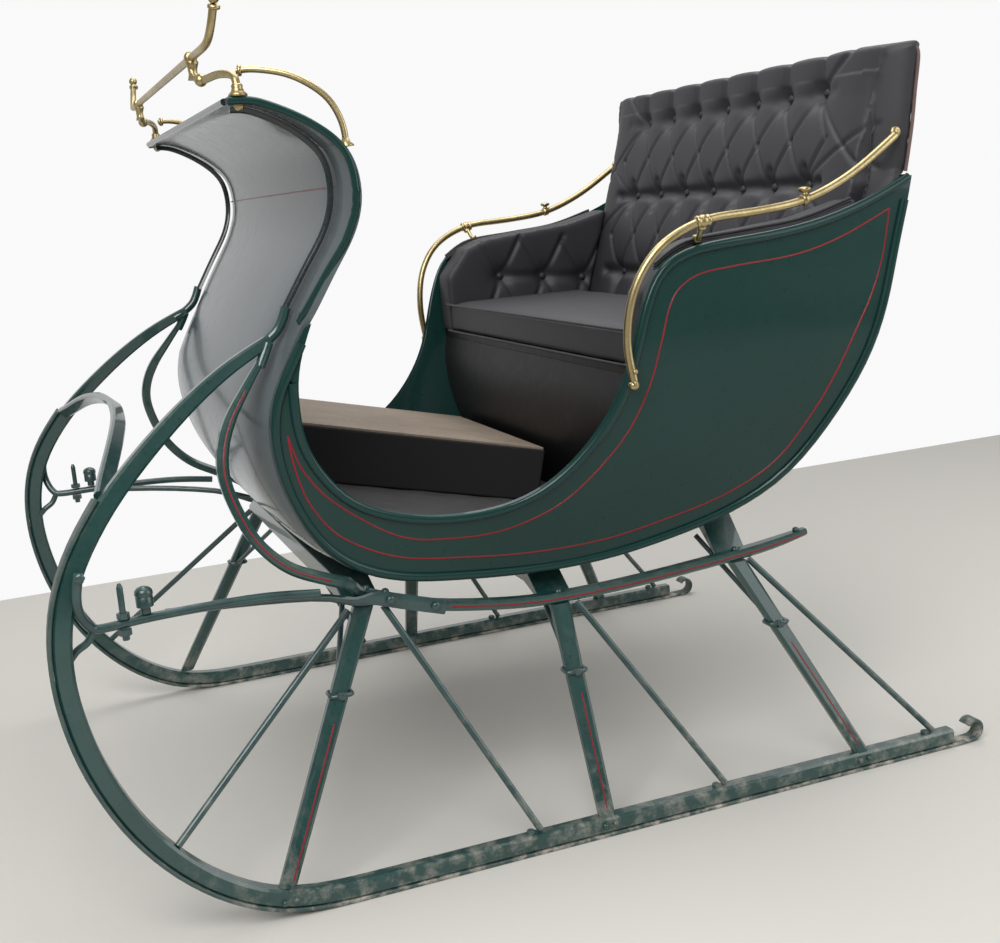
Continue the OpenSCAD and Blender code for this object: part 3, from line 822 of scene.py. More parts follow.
@dataclass(frozen=True)
class Tufting:
    """Buttons and pleats drawn into the face of a pad."""

    facing: Point
    across: Point
    up: Point
    buttons: tuple[tuple[float, float], ...]
    creases: tuple[Crease, ...]
    puff: float = 0.010
    dip: float = 0.016
    button_width: float = 0.020
    crown_from: float = 9.0
    button_pull: float = 0.95
    hollow_pull: float = 0.30
    hollow_reach: float = 2.3
    face_from: float = 0.15
    face_over: float = 0.45

    def depth(self, u: np.ndarray, v: np.ndarray) -> np.ndarray:
        """How deep the pad is drawn in at each place, from 0 to 1."""
        left = np.ones_like(u)
        for bu, bv in self.buttons:
            d = np.hypot(u - bu, v - bv)
            hollow = self.hollow_reach * self.button_width
            left *= 1 - self.button_pull * np.exp(-(d / self.button_width) ** 2)
            left *= 1 - self.hollow_pull * np.exp(-(d / hollow) ** 2)
        for line in self.creases:
            a, b = np.array(line.start), np.array(line.end)
            run = b - a
            t = np.clip(((u - a[0]) * run[0] + (v - a[1]) * run[1]) / (run @ run), 0, 1)
            d = np.hypot(u - a[0] - t * run[0], v - a[1] - t * run[1])
            left *= 1 - line.depth * np.exp(-(d / line.width) ** 2)
        return 1 - left

    def press(self, piece: bpy.types.Object) -> None:
        """Moves the pad's face out between the buttons and in at them."""
        points, normals = vertex_array(piece.data)
        face = np.array(Vector(self.facing).normalized())
        turned = normals @ face
        share = np.clip((turned - self.face_from) / self.face_over, 0, 1)
        crown = (points[:, 2] > self.crown_from) & (normals[:, 2] > 0.1)
        share = np.where(crown, np.maximum(share * 0.7, np.clip(normals[:, 2], 0, 0.6)), share)
        u = points @ np.array(self.across)
        v = points @ np.array(self.up)
        move = self.puff - (self.puff + self.dip) * self.depth(u, v)
        way = np.where(crown[:, None], normals, face[None, :])
        points += way * (move * share)[:, None]
        move_points(piece, points)

    def spots(self, piece: bpy.types.Object, lift: float) -> list[tuple[Vector, Vector]]:
        """Where each button sits on the pressed face, and the way it faces."""
        tree = search_tree(piece.data)
        face = Vector(self.facing).normalized()
        across, up = Vector(self.across), Vector(self.up)
        found = []
        for bu, bv in self.buttons:
            # A place with the button's share across and up, well in front of the pad
            away = face - across * face.dot(across) - up * face.dot(up)
            away = (away / away.dot(face)).normalized()
            hit, _, _, _ = tree.ray_cast(across * bu + up * bv + away * 2.0, -away)
            if hit is not None:
                found.append((hit + face * lift, face))
        return found


# --- sub-assemblies -------------------------------------------------------------------------


@dataclass
class RunningGear:
    """Runners, shoes, bow, legs, benches, raves and scrolls, with their bolts and fine lines."""

    nodes: dict[str, bpy.types.Object]
    lines: LineWork
    heads: HeadWork
    half_track: float = 0.533
    runner_half: float = 0.013
    rave_y: float = 0.408
    leg_feet: tuple[tuple[float, float], ...] = ((493, 41), (-27, 33), (-514, 33))
    leg_tops: tuple[tuple[float, float], ...] = ((308, 416), (-21, 360), (-356, 374))
    clip_share: float = 0.68
    rave_line: tuple[tuple[float, float], ...] = (
        (165, 389), (60, 373.5), (-33, 368.5), (-171, 371.5), (-375, 385.5), (-488, 400))
    scroll_line: tuple[tuple[float, float], ...] = (
        (458, 776), (486, 738), (503, 699), (507, 658), (494, 607), (471, 560), (431, 518),
        (375, 488))

    def build(self) -> None:
        """Dresses the CAD bars and adds what is fixed to them."""
        for stem, finish, sharp, levels in (
                ("runner", GEAR_GREEN, 33, 1), ("shoe", SHOE_WORN, 40, 1),
                ("rave", GEAR_GREEN, 33, 1), ("scroll", GEAR_GREEN, 33, 1),
                ("leg_front", GEAR_GREEN, 33, 0), ("leg_mid", GEAR_GREEN, 33, 0),
                ("leg_rear", GEAR_GREEN, 33, 0)):
            for side, _ in SIDES:
                dress_node(self.nodes, f"{stem}_{side}", f"{stem}_bar_{side}", finish, sharp,
                           levels)
        dress_node(self.nodes, "front_bow", "front_bow_bar", GEAR_GREEN, 33, 1)
        for place in ("front", "mid", "rear"):
            self.bench(place)
        self.tips()
        self.stripes()
        self.bolts()

    def tips(self) -> None:
        """The forged ends that draw each runner and scroll in to the dash rib."""
        for name, side in SIDES:
            runner = smooth_path([(0.436, side * 0.431, 0.829), (0.418, side * 0.429, 0.839),
                                  (0.400, side * 0.428, 0.853), (0.390, side * 0.429, 0.868),
                                  (0.382, side * 0.430, 0.887)], 5)
            scroll = smooth_path([(0.431, side * 0.438, 0.806), (0.422, side * 0.434, 0.822),
                                  (0.414, side * 0.431, 0.838)], 5)
            self.lines.draw(f"gear_tips_{name}", [runner, scroll], 0.0080, GEAR_GREEN, sides=12)

    def bench(self, place: str) -> None:
        """A bench with eased edges."""
        piece = merged(self.nodes[f"bench_{place}"], f"bench_board_{place}")
        eased(piece, 0.0025, limit=True)
        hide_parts(f"bench_{place}")
        dress(piece, GEAR_GREEN)

    def leg_at(self, index: int, share: float) -> Vector:
        """A place on a left leg's middle line, from its foot at 0 to its top at 1."""
        (fx, fz), (tx, tz) = self.leg_feet[index], self.leg_tops[index]
        foot = Vector((fx * MM, self.half_track, fz * MM))
        return foot.lerp(Vector((tx * MM, self.rave_y + 0.002, tz * MM)), share)

    def stripes(self) -> None:
        """The crimson lines on raves, scrolls and legs."""
        for name, side in SIDES:
            rave, scroll = (
                Skin(self.nodes[f"{stem}_{name}"]).line(flat_path(way), side, LINE_SINK)
                for stem, way in (("rave", self.rave_line), ("scroll", self.scroll_line)))
            legs = []
            for index, stem in enumerate(("leg_front", "leg_mid", "leg_rear")):
                skin = Skin(self.nodes[f"{stem}_{name}"])
                spots = [self.leg_at(index, 0.04 + 0.54 * k / 12) for k in range(13)]
                legs.append(skin.line([(p.x, p.z) for p in spots], side, LINE_SINK))
            self.lines.draw(f"gear_lines_{name}", [rave, scroll, *legs], 0.0017, CRIMSON_LINE)
            drops = [(rave[0], rave[3]), (scroll[-1], scroll[-4])]
            for index, (near, far) in enumerate(drops):
                self.teardrop(f"line_drop_{name}_{index + 1}", near, far, side)

    def teardrop(self, name: str, end: Vector, along: Vector, side: int) -> None:
        """The thick drop that starts a painted line."""
        way = (along - end).normalized()
        profile = [(0.0001, 0), (0.0028, 0.003), (0.0036, 0.008), (0.0028, 0.016), (0.0012, 0.026)]
        drop = lathe(name, profile, end - way * 0.006 - Vector((0, side * 0.0018, 0)), way, 10)
        dress(drop, CRIMSON_LINE)

    def bolts(self) -> None:
        """Bolt heads on the runners, raves and leg clips, and the clips' bands."""
        for name, side in SIDES:
            out = Vector((0, side, 0))
            up = Vector((0, 0, 1))
            face = side * (self.half_track + self.runner_half + 0.001)
            feet = [(Vector(((x + dx) * MM, face, 0.021 + (z - 33) * MM)), out)
                    for x, z in self.leg_feet for dx in (-9, 9)]
            self.heads.place(f"runner_bolts_{name}", feet, 0.0052, 0.003, GEAR_GREEN, 14, 0.7)
            rods = [(Vector((x * MM, side * self.half_track, 0.0355)), up)
                    for x in (105, -229, -650)]
            self.heads.place(f"rod_foot_bolts_{name}", rods, 0.0075, 0.005, IRON_PAINT, 6, 0.45)
            tops = [(Vector((x * MM, side * self.rave_y, z * MM + 0.001)), up)
                    for x, z in ((300, 441), (270, 430), (-21, 377), (-356, 392.5), (-480, 407.5))]
            self.heads.place(f"rave_bolts_{name}", tops, 0.0062, 0.003, GEAR_GREEN, 14, 0.6)
            bands, nuts = [], []
            for index in range(3):
                middle = self.leg_at(index, self.clip_share)
                middle.y *= side
                a, b = 0.0165, 0.0125
                bands.append([middle + Vector((dx * a, dy * b, 0)) for dx, dy in
                              ((1, 0.8), (0.8, 1), (-0.8, 1), (-1, 0.8), (-1, -0.8), (-0.8, -1),
                               (0.8, -1), (1, -0.8))])
                nuts.append((middle + Vector((0, side * (b + 0.003), 0)), out))
            self.lines.draw(f"leg_clips_{name}", bands, 0.0042, IRON_PAINT, closed=True)
            self.heads.place(f"leg_clip_nuts_{name}", nuts, 0.0072, 0.005, IRON_PAINT, 6, 0.3)


@dataclass
class Ironwork:
    """Draw irons, shaft pins, sockets, stay rods and braces."""

    nodes: dict[str, bpy.types.Object]
    lines: LineWork
    heads: HeadWork
    plate_bolts: tuple[tuple[float, float], ...] = ((196, 398), (268, 421))

    def build(self) -> None:
        """Dresses the irons and adds their bolts and forged ends."""
        for side, _ in SIDES:
            dress_node(self.nodes, f"draw_iron_{side}", f"draw_iron_bar_{side}", IRON_PAINT, 50, 1)
            dress_node(self.nodes, f"stay_rods_{side}", f"stay_rod_set_{side}", IRON_PAINT, 40)
        for node, name, sharp in (("leg_braces", "leg_brace_set", 40),
                                  ("shaft_pins", "shaft_pin_pair", 40),
                                  ("shaft_sockets", "shaft_socket_pair", 55)):
            dress_node(self.nodes, node, name, IRON_PAINT, sharp)
        for name, side in SIDES:
            bolts = [(Vector((x * MM, side * 0.4285, z * MM)), Vector((0, side, 0)))
                     for x, z in self.plate_bolts]
            bolts.append((Vector((0.722, side * 0.562, 0.569)), Vector((0, side, 0))))
            self.heads.place(f"draw_iron_bolts_{name}", bolts, 0.0075, 0.005, IRON_PAINT, 6, 0.4)
            cap = lathe(f"shaft_socket_ball_{name}",
                        [(0.0001, 0), (0.007, 0.0012), (0.0115, 0.004), (0.013, 0.008),
                         (0.0122, 0.013), (0.009, 0.0165), (0.004, 0.0185), (0.0001, 0.019)],
                        (0.640, side * 0.516, 0.5135), (0, 0, 1), 24)
            dress(cap, IRON_PAINT)
            nut = lathe(f"shaft_pin_nut_{name}", [(0.009, 0), (0.009, 0.009), (0.005, 0.010),
                                                  (0.005, 0.016)],
                        (0.671, side * 0.520, 0.4775), (0, 0, -1), 6)
            for face in nut.data.polygons:
                face.use_smooth = False
            dress(nut, IRON_PAINT)
            start = Vector((0.712, side * 0.522, 0.484))
            branch = smooth_path([start, (0.722, side * 0.520, 0.468), (0.737, side * 0.518, 0.458),
                                  (0.748, side * 0.520, 0.447)], 6)
            self.lines.draw(f"draw_iron_stay_{name}", [branch], 0.0055, IRON_PAINT, sides=10)


@dataclass
class Body:
    """Side panels, beads, dash, ribs, bottom and back, with the crimson outline."""

    nodes: dict[str, bpy.types.Object]
    lines: LineWork
    outline_open: tuple[tuple[float, float], ...] = (
        (405, 703), (386, 646), (340, 588), (246, 522), (156, 505), (72, 507), (-15, 536),
        (-80, 589), (-128, 648), (-160, 715), (-181, 784), (-196, 832), (-216, 861), (-252, 879),
        (-315, 886), (-425, 894), (-511, 915), (-604, 953))
    outline_low: tuple[tuple[float, float], ...] = (
        (-604, 953), (-592, 878), (-570, 818), (-540, 761), (-505, 692), (-465, 624), (-407, 550),
        (-322, 504), (-215, 476), (-98, 457), (30, 457), (143, 469), (236, 484), (302, 512),
        (350, 548), (383, 600), (399, 655), (405, 703))
    wing_edge: tuple[tuple[float, float], ...] = (
        (440, 1176), (397, 1172), (331, 1141), (287, 1100), (276, 1045), (289, 990), (327, 931),
        (368, 868))
    dash_line_z: float = 1.052

    def build(self) -> None:
        """Dresses the body and draws its lines."""
        for name, side in SIDES:
            dress_node(self.nodes, f"side_panel_{name}", f"side_panel_skin_{name}", COACH_GREEN,
                       levels=1)
            dress_node(self.nodes, f"panel_bead_{name}", f"panel_bead_round_{name}", COACH_GREEN,
                       50, 1)
            skin = Skin(self.nodes[f"side_panel_{name}"])
            paths = [skin.line(flat_path(way), side, 0.0010)
                     for way in (self.outline_open, self.outline_low)]
            self.lines.draw(f"panel_lines_{name}", paths, 0.0019, CRIMSON_LINE)
            edge = Skin(self.nodes["dash"]).line(flat_path(self.wing_edge), side, 0.001)
            last = edge[-1]
            edge += [Vector((0.3635, last.y, 0.861)), Vector((0.3625, last.y, 0.852))]
            self.lines.draw(f"wing_bead_{name}", [edge], 0.0058, COACH_GREEN, sides=12)
        # The dash sheet's colour holds a painted reflection
        for node, name, finish, sharp in (("dash", "dash_sheet", DASH_GREY_PAINTED_REFLECTION, 35),
                                          ("dash_ribs", "dash_rib_pair", RIB_BLACK, 50),
                                          ("bottom_boards", "bottom_sheet", COACH_GREEN, 35),
                                          ("back_panel", "back_sheet", COACH_GREEN, 35)):
            dress_node(self.nodes, node, name, finish, sharp, 1)
        self.cross_lines()

    def cross_lines(self) -> None:
        """The rolled lip along the dash's top and the crimson line across its front."""
        lip = [(0.4415, -0.455 + 0.91 * k / 30, 1.1764) for k in range(31)]
        self.lines.draw("dash_lip", [[Vector(p) for p in lip]], 0.0050, RIB_BLACK, sides=10)
        tree = search_tree(self.nodes["dash"].data)
        path = []
        for k in range(41):
            y = -0.425 + 0.85 * k / 40
            hit, normal, _, _ = tree.ray_cast(Vector((1.5, y, self.dash_line_z)),
                                              Vector((-1, 0, 0)))
            if hit is not None:
                path.append(hit - normal * 0.0006)
        self.lines.draw("dash_line", [path], 0.0012, CRIMSON_LINE)


@dataclass
class Upholstery:
    """The seat cushion, tufted back, arm pads and padded fall."""

    nodes: dict[str, bpy.types.Object]
    lines: LineWork
    heads: HeadWork
    columns: int = 7
    pitch: float = 0.110
    rows: tuple[float, float, float] = (1.152, 0.998, 0.838)
    lean: Point = (0.958, 0.0, 0.287)
    cushion_half: float = 0.440
    cushion_front: float = -0.152
    cushion_rear: float = -0.484
    cushion_top: float = 0.797
    cushion_low: float = 0.740
    arm_buttons: tuple[tuple[float, float], ...] = ((-0.288, 0.847), (-0.391, 0.838),
                                                    (-0.489, 0.827))
    pad_top: tuple[tuple[float, float], ...] = (
        (-158, 856), (-180, 902), (-236, 931), (-340, 941), (-445, 951), (-540, 976))
    voxel: float = 0.004
    pleat: float = 0.0042
    end_pull: float = 0.040
    end_set_back: float = 0.012
    end_from: float = 0.38
    end_width: float = 0.13
    end_depth: float = 0.055
    rear_heights: Point = (0.735, 1.012, 1.213)
    rear_depths: Point = (-0.315, -0.335, -0.295)

    def build(self) -> None:
        """Makes every upholstered piece."""
        self.cushion()
        self.back()
        for name, side in SIDES:
            self.arm_pad(name, side)
        # The padded fall's colour holds painted shade
        dress_node(self.nodes, "seat_box", "seat_fall", FALL_LEATHER_PAINTED_SHADE, 50, 1)

    def column_places(self) -> list[float]:
        """The buttons' places across the seat back."""
        return [(k - (self.columns - 1) / 2) * self.pitch for k in range(self.columns)]

    def cushion(self) -> None:
        """The box cushion, stuffed as cloth, with welts round its edges."""
        piece = remeshed(self.nodes["seat_cushion"], "seat_cushion_pad", 0.007, 0.004, 2)
        puff_up(piece, 4.0, 0.006)
        divided(piece)
        dress(piece, BLACK_LEATHER)
        w, f, r = self.cushion_half, self.cushion_front, self.cushion_rear
        for label, z in (("top", self.cushion_top), ("low", self.cushion_low)):
            ring = smooth_path([(f - 0.004, -w + 0.012, z), (f, -w + 0.03, z), (f, 0, z),
                                (f, w - 0.03, z), (f - 0.004, w - 0.012, z), (f - 0.016, w, z),
                                ((f + r) / 2, w, z), (r, w, z)], 6)
            back = [Vector((p.x, -p.y, p.z)) for p in ring]
            self.lines.draw(f"cushion_welt_{label}", [ring, back[32:]], 0.0026, BLACK_LEATHER,
                            sides=8)

    def back(self) -> None:
        """The tufted back: three rows of buttons, pleats and a crown that rolls over."""
        top, middle, low = self.rows
        places = self.column_places()
        creases = []
        for y in places:
            for start, end, depth, width in (
                    (top, top + 0.12, 0.30, 0.007), (top, top + 0.12, 0.12, 0.024),
                    (middle, middle + 0.03, 0.30, 0.008), (middle, middle - 0.03, 0.30, 0.008),
                    (low, low - 0.09, 0.40, 0.010)):
                creases.append(Crease((y, start), (y, end), depth, width))
            for way in (-1, 1):
                for upper, lower in ((top, middle), (middle, low)):
                    between = (y + way * self.pitch / 2, (upper + lower) / 2)
                    creases.append(Crease((y, upper), between, 0.13, self.pleat))
                    creases.append(Crease(between, (y, lower), 0.16, self.pleat))
        edge = places[-1] + self.pitch / 2
        for z, depth in ((top, 0.10), (middle + 0.003, 0.42), (low + 0.003, 0.42)):
            creases.append(Crease((-edge, z), (edge, z), depth, 0.010))
        for way in (-1, 1):
            for z, y, end, depth, width in ((top, 0.48, middle + 0.02, 0.13, self.pleat),
                                            (middle, 0.48, middle + 0.09, 0.13, self.pleat),
                                            (middle, 0.48, middle - 0.09, 0.13, self.pleat),
                                            (top, 0.45, top + 0.09, 0.24, 0.006)):
                creases.append(Crease((way * places[-1], z), (way * y, end), depth, width))
        tufting = Tufting(self.lean, (0, 1, 0), (0, 0, 1),
                          tuple((y, z) for z in self.rows for y in places), tuple(creases),
                          puff=0.006, dip=0.022, button_width=0.017, crown_from=1.175)
        piece = remeshed(self.nodes["seat_back"], "seat_back_pad", self.voxel, 0.0, 6)
        self.round_ends(piece)
        tufting.press(piece)
        spots = tufting.spots(piece, 0.002)
        dress(piece, BLACK_LEATHER)
        self.heads.place("seat_back_buttons", spots, 0.0085, 0.003, BLACK_LEATHER, 18, 0.6)
        for name, side in SIDES:
            rear = smooth_path([(-0.6475, side * 0.5085, 1.010), (-0.6575, side * 0.5135, 1.080),
                                (-0.6625, side * 0.5175, 1.140), (-0.6665, side * 0.5215, 1.190),
                                (-0.6640, side * 0.5190, 1.206)], 6)
            self.lines.draw(f"seat_back_welt_{name}", [rear], 0.0030, BROWN_WELT, sides=8)

    def round_ends(self, piece: bpy.types.Object) -> None:
        """Draws the back's front corners in, so that its ends are full and round."""
        points, _ = vertex_array(piece.data)
        face = np.array(Vector(self.lean).normalized())
        depth = points @ face
        rear = np.interp(points[:, 2], self.rear_heights, self.rear_depths)
        front = np.clip((depth - rear) / self.end_depth, 0, 1)
        reach = np.clip((np.abs(points[:, 1]) - self.end_from) / self.end_width, 0, 1)
        points[:, 1] -= np.sign(points[:, 1]) * self.end_pull * (front * reach) ** 1.5
        points -= face[None, :] * (self.end_set_back * reach ** 3 * front)[:, None]
        move_points(piece, points)

    def arm_pad(self, name: str, side: int) -> None:
        """An arm pad with three buttons, a welted front and its stacked top edge."""
        creases = []
        for index, (x, z) in enumerate(self.arm_buttons):
            for dx, dz in ((0.05, 0.085), (-0.05, 0.085), (0.045, -0.09), (-0.045, -0.09)):
                creases.append(Crease((x, z), (x + dx, z + dz), 0.28, 0.005))
            if index:
                creases.append(Crease((x, z), self.arm_buttons[index - 1], 0.32, 0.010))
        tufting = Tufting((0, -side, 0), (1, 0, 0), (0, 0, 1), self.arm_buttons, tuple(creases),
                          puff=0.006, dip=0.014, button_width=0.018)
        piece = remeshed(self.nodes[f"arm_pad_{name}"], f"arm_cushion_{name}", self.voxel, 0.0, 16)
        tufting.press(piece)
        spots = tufting.spots(piece, 0.002)
        dress(piece, BLACK_LEATHER)
        self.heads.place(f"arm_buttons_{name}", spots, 0.0085, 0.003, BLACK_LEATHER, 18, 0.6)
        stack = [smooth_path([(x * MM, side * (0.5045 - 0.0005 * k + 0.00003 * max(0, z - 900)),
                               z * MM - 0.0015 - 0.0042 * k) for x, z in self.pad_top[1:]], 6)
                 for k in range(3)]
        self.lines.draw(f"arm_edge_layers_{name}", stack, 0.0024, BLACK_LEATHER, sides=8)


@dataclass
class BrassWork:
    """Arm rails, rein rail and dash rails, with their collars, knobs, feet and screws."""

    nodes: dict[str, bpy.types.Object]
    heads: HeadWork
    post_top: Point = (-0.248, 0.5415, 0.9600)
    finial: Point = (-0.440, 0.528, 0.9780)
    tee: Point = (0.464, 0.352, 1.2480)
    elbow: Point = (0.4565, 0.374, 1.2145)
    foot: Point = (0.424, 0.470, 1.1818)

    def build(self) -> None:
        """Dresses the tubes and adds the cast pieces."""
        for name, side in SIDES:
            dress_node(self.nodes, f"arm_rail_{name}", f"arm_rail_tube_{name}", OLD_BRASS, 60, 1)
            self.arm_fittings(name, side)
            self.rein_fittings(name, side)
        dress_node(self.nodes, "rein_rail", "rein_rail_tube", OLD_BRASS, 60, 1)
        dress_node(self.nodes, "dash_rails", "dash_rail_tubes", OLD_BRASS, 60, 1)

    def cast(self, name: str, side: int, parts: Sequence[tuple[Sequence, Point, Point]]) -> None:
        """Joins turned parts in brass.

        Args:
            name: The piece's name.
            side: 1 for the left, -1 for the right.
            parts: Each part's profile in millimetres, base and axis, as on the left side.
        """
        turned = [lathe(name, [(r * MM, t * MM) for r, t in profile], (bx, by * side, bz),
                        (ax, ay * side, az), 22)
                  for profile, (bx, by, bz), (ax, ay, az) in parts]
        dress(joined(name, turned), OLD_BRASS)

    def arm_fittings(self, name: str, side: int) -> None:
        """An arm rail's collars, disc knob, end tabs and screws."""
        x, y, z = self.post_top
        fx, fy, fz = self.finial
        self.cast(f"arm_rail_fittings_{name}", side, (
            (((7.4, 0), (9.4, 1.5), (9.4, 4.5), (7.9, 6), (9.9, 9), (9.9, 15), (7.9, 18),
              (9.4, 19.5), (9.4, 22.5), (7.4, 24)), (x + 0.012, y, z - 0.0008), (-1, 0.02, 0.06)),
            (((5.2, 0), (7.0, 2), (7.6, 5), (6.0, 9)), (x, y - 0.004, z - 0.014), UP),
            (((7.5, 0), (6.2, 5), (8.0, 9), (6.0, 13)), (-0.2528, 0.5125, 0.9262), UP),
            (((7.4, 0), (9.0, 1.4), (9.0, 10.6), (7.4, 12)), (fx + 0.006, fy, fz - 0.0008),
             (-1, -0.02, 0.28)),
            (((5.0, 0), (5.0, 5), (4.0, 7), (8.0, 8.6), (10.4, 11), (10.6, 13), (8.5, 15),
              (0.1, 16)), (fx, fy, fz + 0.005), UP),
            (((0.1, 0), (8.5, 1), (9.0, 3), (8.0, 4.6), (0.1, 5)), (-0.6215, 0.5165, 1.0735),
             (0.1, 1, 0)),
            (((7.0, 0), (9.0, 4), (8.0, 9), (5.0, 12)), (-0.1235, 0.5255, 0.7255), (0, 0, -1))))
        out = Vector((0, side, 0))
        spots = [(Vector((-0.6215, side * 0.5222, 1.0735)), out),
                 (Vector((-0.1235, side * 0.5325, 0.7240)), out),
                 (Vector((-0.1245, side * 0.5318, 0.7415)), out)]
        self.heads.place(f"arm_rail_screws_{name}", spots, 0.0042, 0.002, OLD_BRASS, 14, 0.6)

    def rein_fittings(self, name: str, side: int) -> None:
        """The rein rail's tees, elbows, feet, knobs and the nuts under the lip."""
        tx, ty, tz = self.tee
        ex, ey, ez = self.elbow
        self.cast(f"rein_rail_fittings_{name}", side, (
            (((6.2, 0), (8.6, 2), (9.4, 8), (8.6, 14), (6.2, 16)), (tx, ty - 0.008, tz),
             (0, 1, 0)),
            (((8.4, 0), (6.6, 7), (6.3, 14), (8.2, 20), (9.6, 24), (7.0, 29)),
             (tx - 0.001, ty + 0.002, tz - 0.031), UP),
            ([(r * 1000, t * 1000) for r, t in ball(0.0092)], (ex, ey, ez - 0.0092), UP),
            (((13.5, 0.2), (13.0, 3), (9.5, 6), (7.6, 11), (8.2, 14), (6.2, 17)), self.foot, UP),
            (((6.2, 0), (8.6, 1.5), (8.6, 5), (6.2, 7)), (0.4507, 0.5105, 1.2905),
             (-0.1, 0.35, 0.93)),
            (((5.4, 0), (7.8, 1), (7.8, 5), (5.4, 6)), (0.4165, 0.4440, 1.2184),
             (-0.96, 0.27, 0)),
            (((11, 0), (10.5, 2.5), (6.5, 6), (5.4, 12)), (0.2805, 0.479, 1.1055), (0.1, 0, 1))))
        under = [(Vector((0.424, side * 0.470, 1.1705)), Vector((0, 0, -1)))]
        self.heads.place(f"rein_rail_nut_{name}", under, 0.0075, 0.006, OLD_BRASS, 6, 0.8)


@dataclass
class FootSpace:
    """The carpeted floor and the loose foot box with its bare board."""

    nodes: dict[str, bpy.types.Object]
    board: float = 0.006
    slope_foot: float = 0.4535
    pile: float = 0.0012
    lean: float = 13.5

    def build(self) -> None:
        """Dresses the floor and builds the box's covering and board."""
        # The floor's carpet is slightly lighter than the box's, as painted light
        dress_node(self.nodes, "floor_carpet", "floor_covering", FLOOR_CARPET_PAINTED_LIGHT, 33)
        box = merged(self.nodes["foot_box"], "foot_box_cover")
        corners = sorted((v.co.copy() for v in box.data.vertices), key=lambda c: c.z)
        eased(box, 0.004, 3)
        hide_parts("foot_box")
        dress(box, BLACK_CARPET)
        self.board_on(corners)
        self.foot_slope()

    def foot_slope(self) -> None:
        """The carpet that rises towards the dash under the box."""
        rear, front, half, thick = -0.124, 0.365, 0.394, 0.012
        rise = math.tan(math.radians(self.lean))
        columns, rows = 48, 72
        top, under, faces = [], [], []
        for k in range(columns + 1):
            x = rear + (front - rear) * k / columns
            level = self.slope_foot + (x - rear) * rise
            for j in range(rows + 1):
                y = half * (2 * j / rows - 1)
                lump = self.pile * math.sin(61 * x + 23 * y) * math.sin(47 * y - 19 * x)
                top.append((x, y, level + lump * min(1.0, 6 * min(j, rows - j) / rows)))
                under.append((x, y, level - thick * min(1.0, k / 6) - 0.0006))
        width = rows + 1
        count = width * (columns + 1)
        for k in range(columns):
            for j in range(rows):
                a = k * width + j
                faces.append((a, a + width, a + width + 1, a + 1))
                faces.append((count + a, count + a + 1, count + a + width + 1, count + a + width))
        ring = ([k * width for k in range(columns)] + [columns * width + j for j in range(rows)]
                + [k * width + rows for k in range(columns, 0, -1)]
                + [j for j in range(rows, 0, -1)])
        for a, b in zip(ring, ring[1:] + ring[:1]):
            faces.append((a, a + count, b + count, b))
        piece = new_piece("foot_slope_carpet", top + under, faces)
        outward(piece.data)
        # The rising carpet takes the floor's lighter copy, as painted light
        dress(piece, FLOOR_CARPET_PAINTED_LIGHT)

    def board_on(self, corners: list[Vector]) -> None:
        """The tan board on the box's sloping top."""
        left = [c for c in corners if c.y > -0.15]
        right = [c for c in corners if c.y <= -0.15]

        def top_pair(ends: list[Vector]) -> tuple[Vector, Vector]:
            """The upper corner at the rear and at the front."""
            rear = max(sorted(ends, key=lambda c: c.x)[:2], key=lambda c: c.z)
            front = max(sorted(ends, key=lambda c: c.x)[2:], key=lambda c: c.z)
            return rear, front

        (rl, fl), (rr, fr) = top_pair(left), top_pair(right)
        up = (fl - rl).cross(rr - rl).normalized()
        up = up if up.z > 0 else -up
        inset = (fl - rl).normalized() * 0.003
        side = (rr - rl).normalized() * 0.003
        base = [rl + inset + side, fl - inset + side, fr - inset - side, rr + inset - side]
        low = [c - up * 0.002 for c in base]
        high = [c + up * (self.board - 0.002) for c in base]
        piece = new_piece("foot_box_board", low + high,
                          [(3, 2, 1, 0), (4, 5, 6, 7), (0, 1, 5, 4), (1, 2, 6, 5), (2, 3, 7, 6),
                           (3, 0, 4, 7)], False)
        outward(piece.data)
        eased(piece, 0.0015)
        dress(piece, TAN_BOARD)


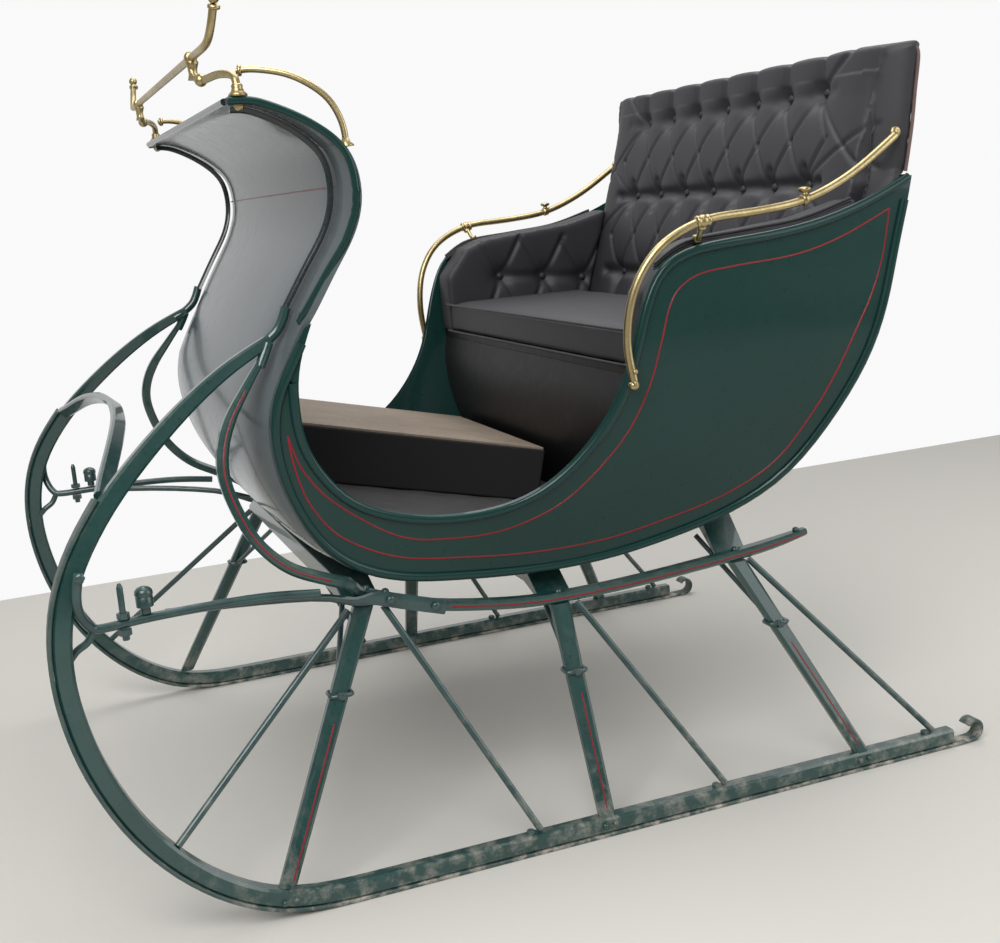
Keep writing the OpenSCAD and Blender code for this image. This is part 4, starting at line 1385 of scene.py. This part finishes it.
@dataclass
class Studio:
    """Floor, backdrop, lamps and camera."""

    camera_place: Point = (0.7742, 2.3550, 1.0192)
    azimuth: float = 20.149
    elevation: float = 11.469
    roll: float = 4.490
    lens: float = 47.82
    shift: tuple[float, float] = (-0.0018, -0.0041)
    wall_light: float = 0.95
    soft_light: float = 0.55
    glossy_light: float = 0.42
    glossy_swing: float = 0.34

    def build(self) -> None:
        """Sets the scene up."""
        scene = bpy.context.scene
        scene.view_settings.view_transform = "Standard"
        self.backdrop()
        self.sky()
        self.lamp("key", (1.6, 2.6, 3.0), 120.0, 2.2)
        self.lamp("fill", (-2.6, 2.2, 1.8), 45.0, 2.4)
        self.lamp("top", (-0.3, -0.6, 3.4), 70.0, 2.6)
        scene.camera = self.camera()

    def camera(self) -> bpy.types.Object:
        """The camera, turned by azimuth, elevation and roll."""
        az, el, roll = (math.radians(a) for a in (self.azimuth, self.elevation, self.roll))
        back = Vector((math.sin(az) * math.cos(el), math.cos(az) * math.cos(el), math.sin(el)))
        right = (-back).cross(Vector((0, 0, 1))).normalized()
        down = (-back).cross(right)
        x = right * math.cos(roll) + down * math.sin(roll)
        y = -(down * math.cos(roll) - right * math.sin(roll))
        turn = Matrix((x, y, back)).transposed().to_4x4()
        data = bpy.data.cameras.new("camera")
        data.lens = self.lens
        data.sensor_width = 36.0
        data.shift_x, data.shift_y = self.shift
        camera = bpy.data.objects.new("camera", data)
        camera.matrix_world = Matrix.Translation(self.camera_place) @ turn
        bpy.context.scene.collection.objects.link(camera)
        return camera

    def lamp(self, name: str, place: Point, watts: float, size: float) -> None:
        """A soft square lamp that looks at the sleigh."""
        data = bpy.data.lights.new(name, "AREA")
        data.energy = watts
        data.size = size
        lamp = bpy.data.objects.new(name, data)
        lamp.location = place
        aim = Vector((-0.05, 0, 0.6)) - Vector(place)
        lamp.rotation_euler = aim.to_track_quat("-Z", "Y").to_euler()
        bpy.context.scene.collection.objects.link(lamp)

    def backdrop(self) -> None:
        """A pale floor that ends a little way behind the sleigh."""
        half, behind, before = 9.0, -1.6, 9.0
        verts = [(-half, behind, 0), (half, behind, 0), (half, before, 0), (-half, before, 0)]
        floor = new_piece("floor", verts, [(0, 1, 2, 3)], False)
        finish = bpy.data.materials.new("pale_floor")
        finish.use_nodes = True
        shader = finish.node_tree.nodes["Principled BSDF"]
        shader.inputs["Base Color"].default_value = rgb(0.50, 0.485, 0.45)
        shader.inputs["Roughness"].default_value = 0.8
        floor.data.materials.append(finish)

    def sky(self) -> None:
        """Soft light from all round, seen as a pale wall.

        Glossy rays meet a dim room on the near side and a brighter one beyond the sleigh.
        """
        world = bpy.data.worlds.new("studio")
        world.use_nodes = True
        pad = NodePad(world.node_tree)
        world.node_tree.nodes.clear()
        path = pad.add("ShaderNodeLightPath")
        place = pad.add("ShaderNodeTexCoord").outputs["Generated"]
        across = pad.add("ShaderNodeSeparateXYZ", {"Vector": place}).outputs["Y"]
        far = pad.maths("SUBTRACT", self.glossy_light,
                        pad.maths("MULTIPLY", across, self.glossy_swing))
        seen = path.outputs["Is Camera Ray"]
        glossy = path.outputs["Is Glossy Ray"]
        soft = pad.maths("SUBTRACT", pad.maths("SUBTRACT", 1.0, seen), glossy)
        strength = pad.maths("ADD", pad.maths("MULTIPLY", seen, self.wall_light),
                             pad.maths("ADD", pad.maths("MULTIPLY", glossy, far),
                                       pad.maths("MULTIPLY", soft, self.soft_light)))
        light = pad.add("ShaderNodeBackground", {"Color": rgb(1.0, 1.0, 1.0),
                                                 "Strength": strength})
        pad.add("ShaderNodeOutputWorld", {"Surface": light.outputs["Background"]})
        bpy.context.scene.world = world


def main(nodes: dict[str, bpy.types.Object]) -> None:
    """Builds every sub-assembly in order."""
    logging.basicConfig(level=logging.INFO, format="%(name)s %(message)s")
    lines = LineWork()
    heads = HeadWork()
    Studio().build()
    RunningGear(nodes, lines, heads).build()
    Ironwork(nodes, lines, heads).build()
    Body(nodes, lines).build()
    BrassWork(nodes, heads).build()
    FootSpace(nodes).build()
    Upholstery(nodes, lines, heads).build()


if __name__ == "__main__":
    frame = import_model()
    main(frame["nodes"])
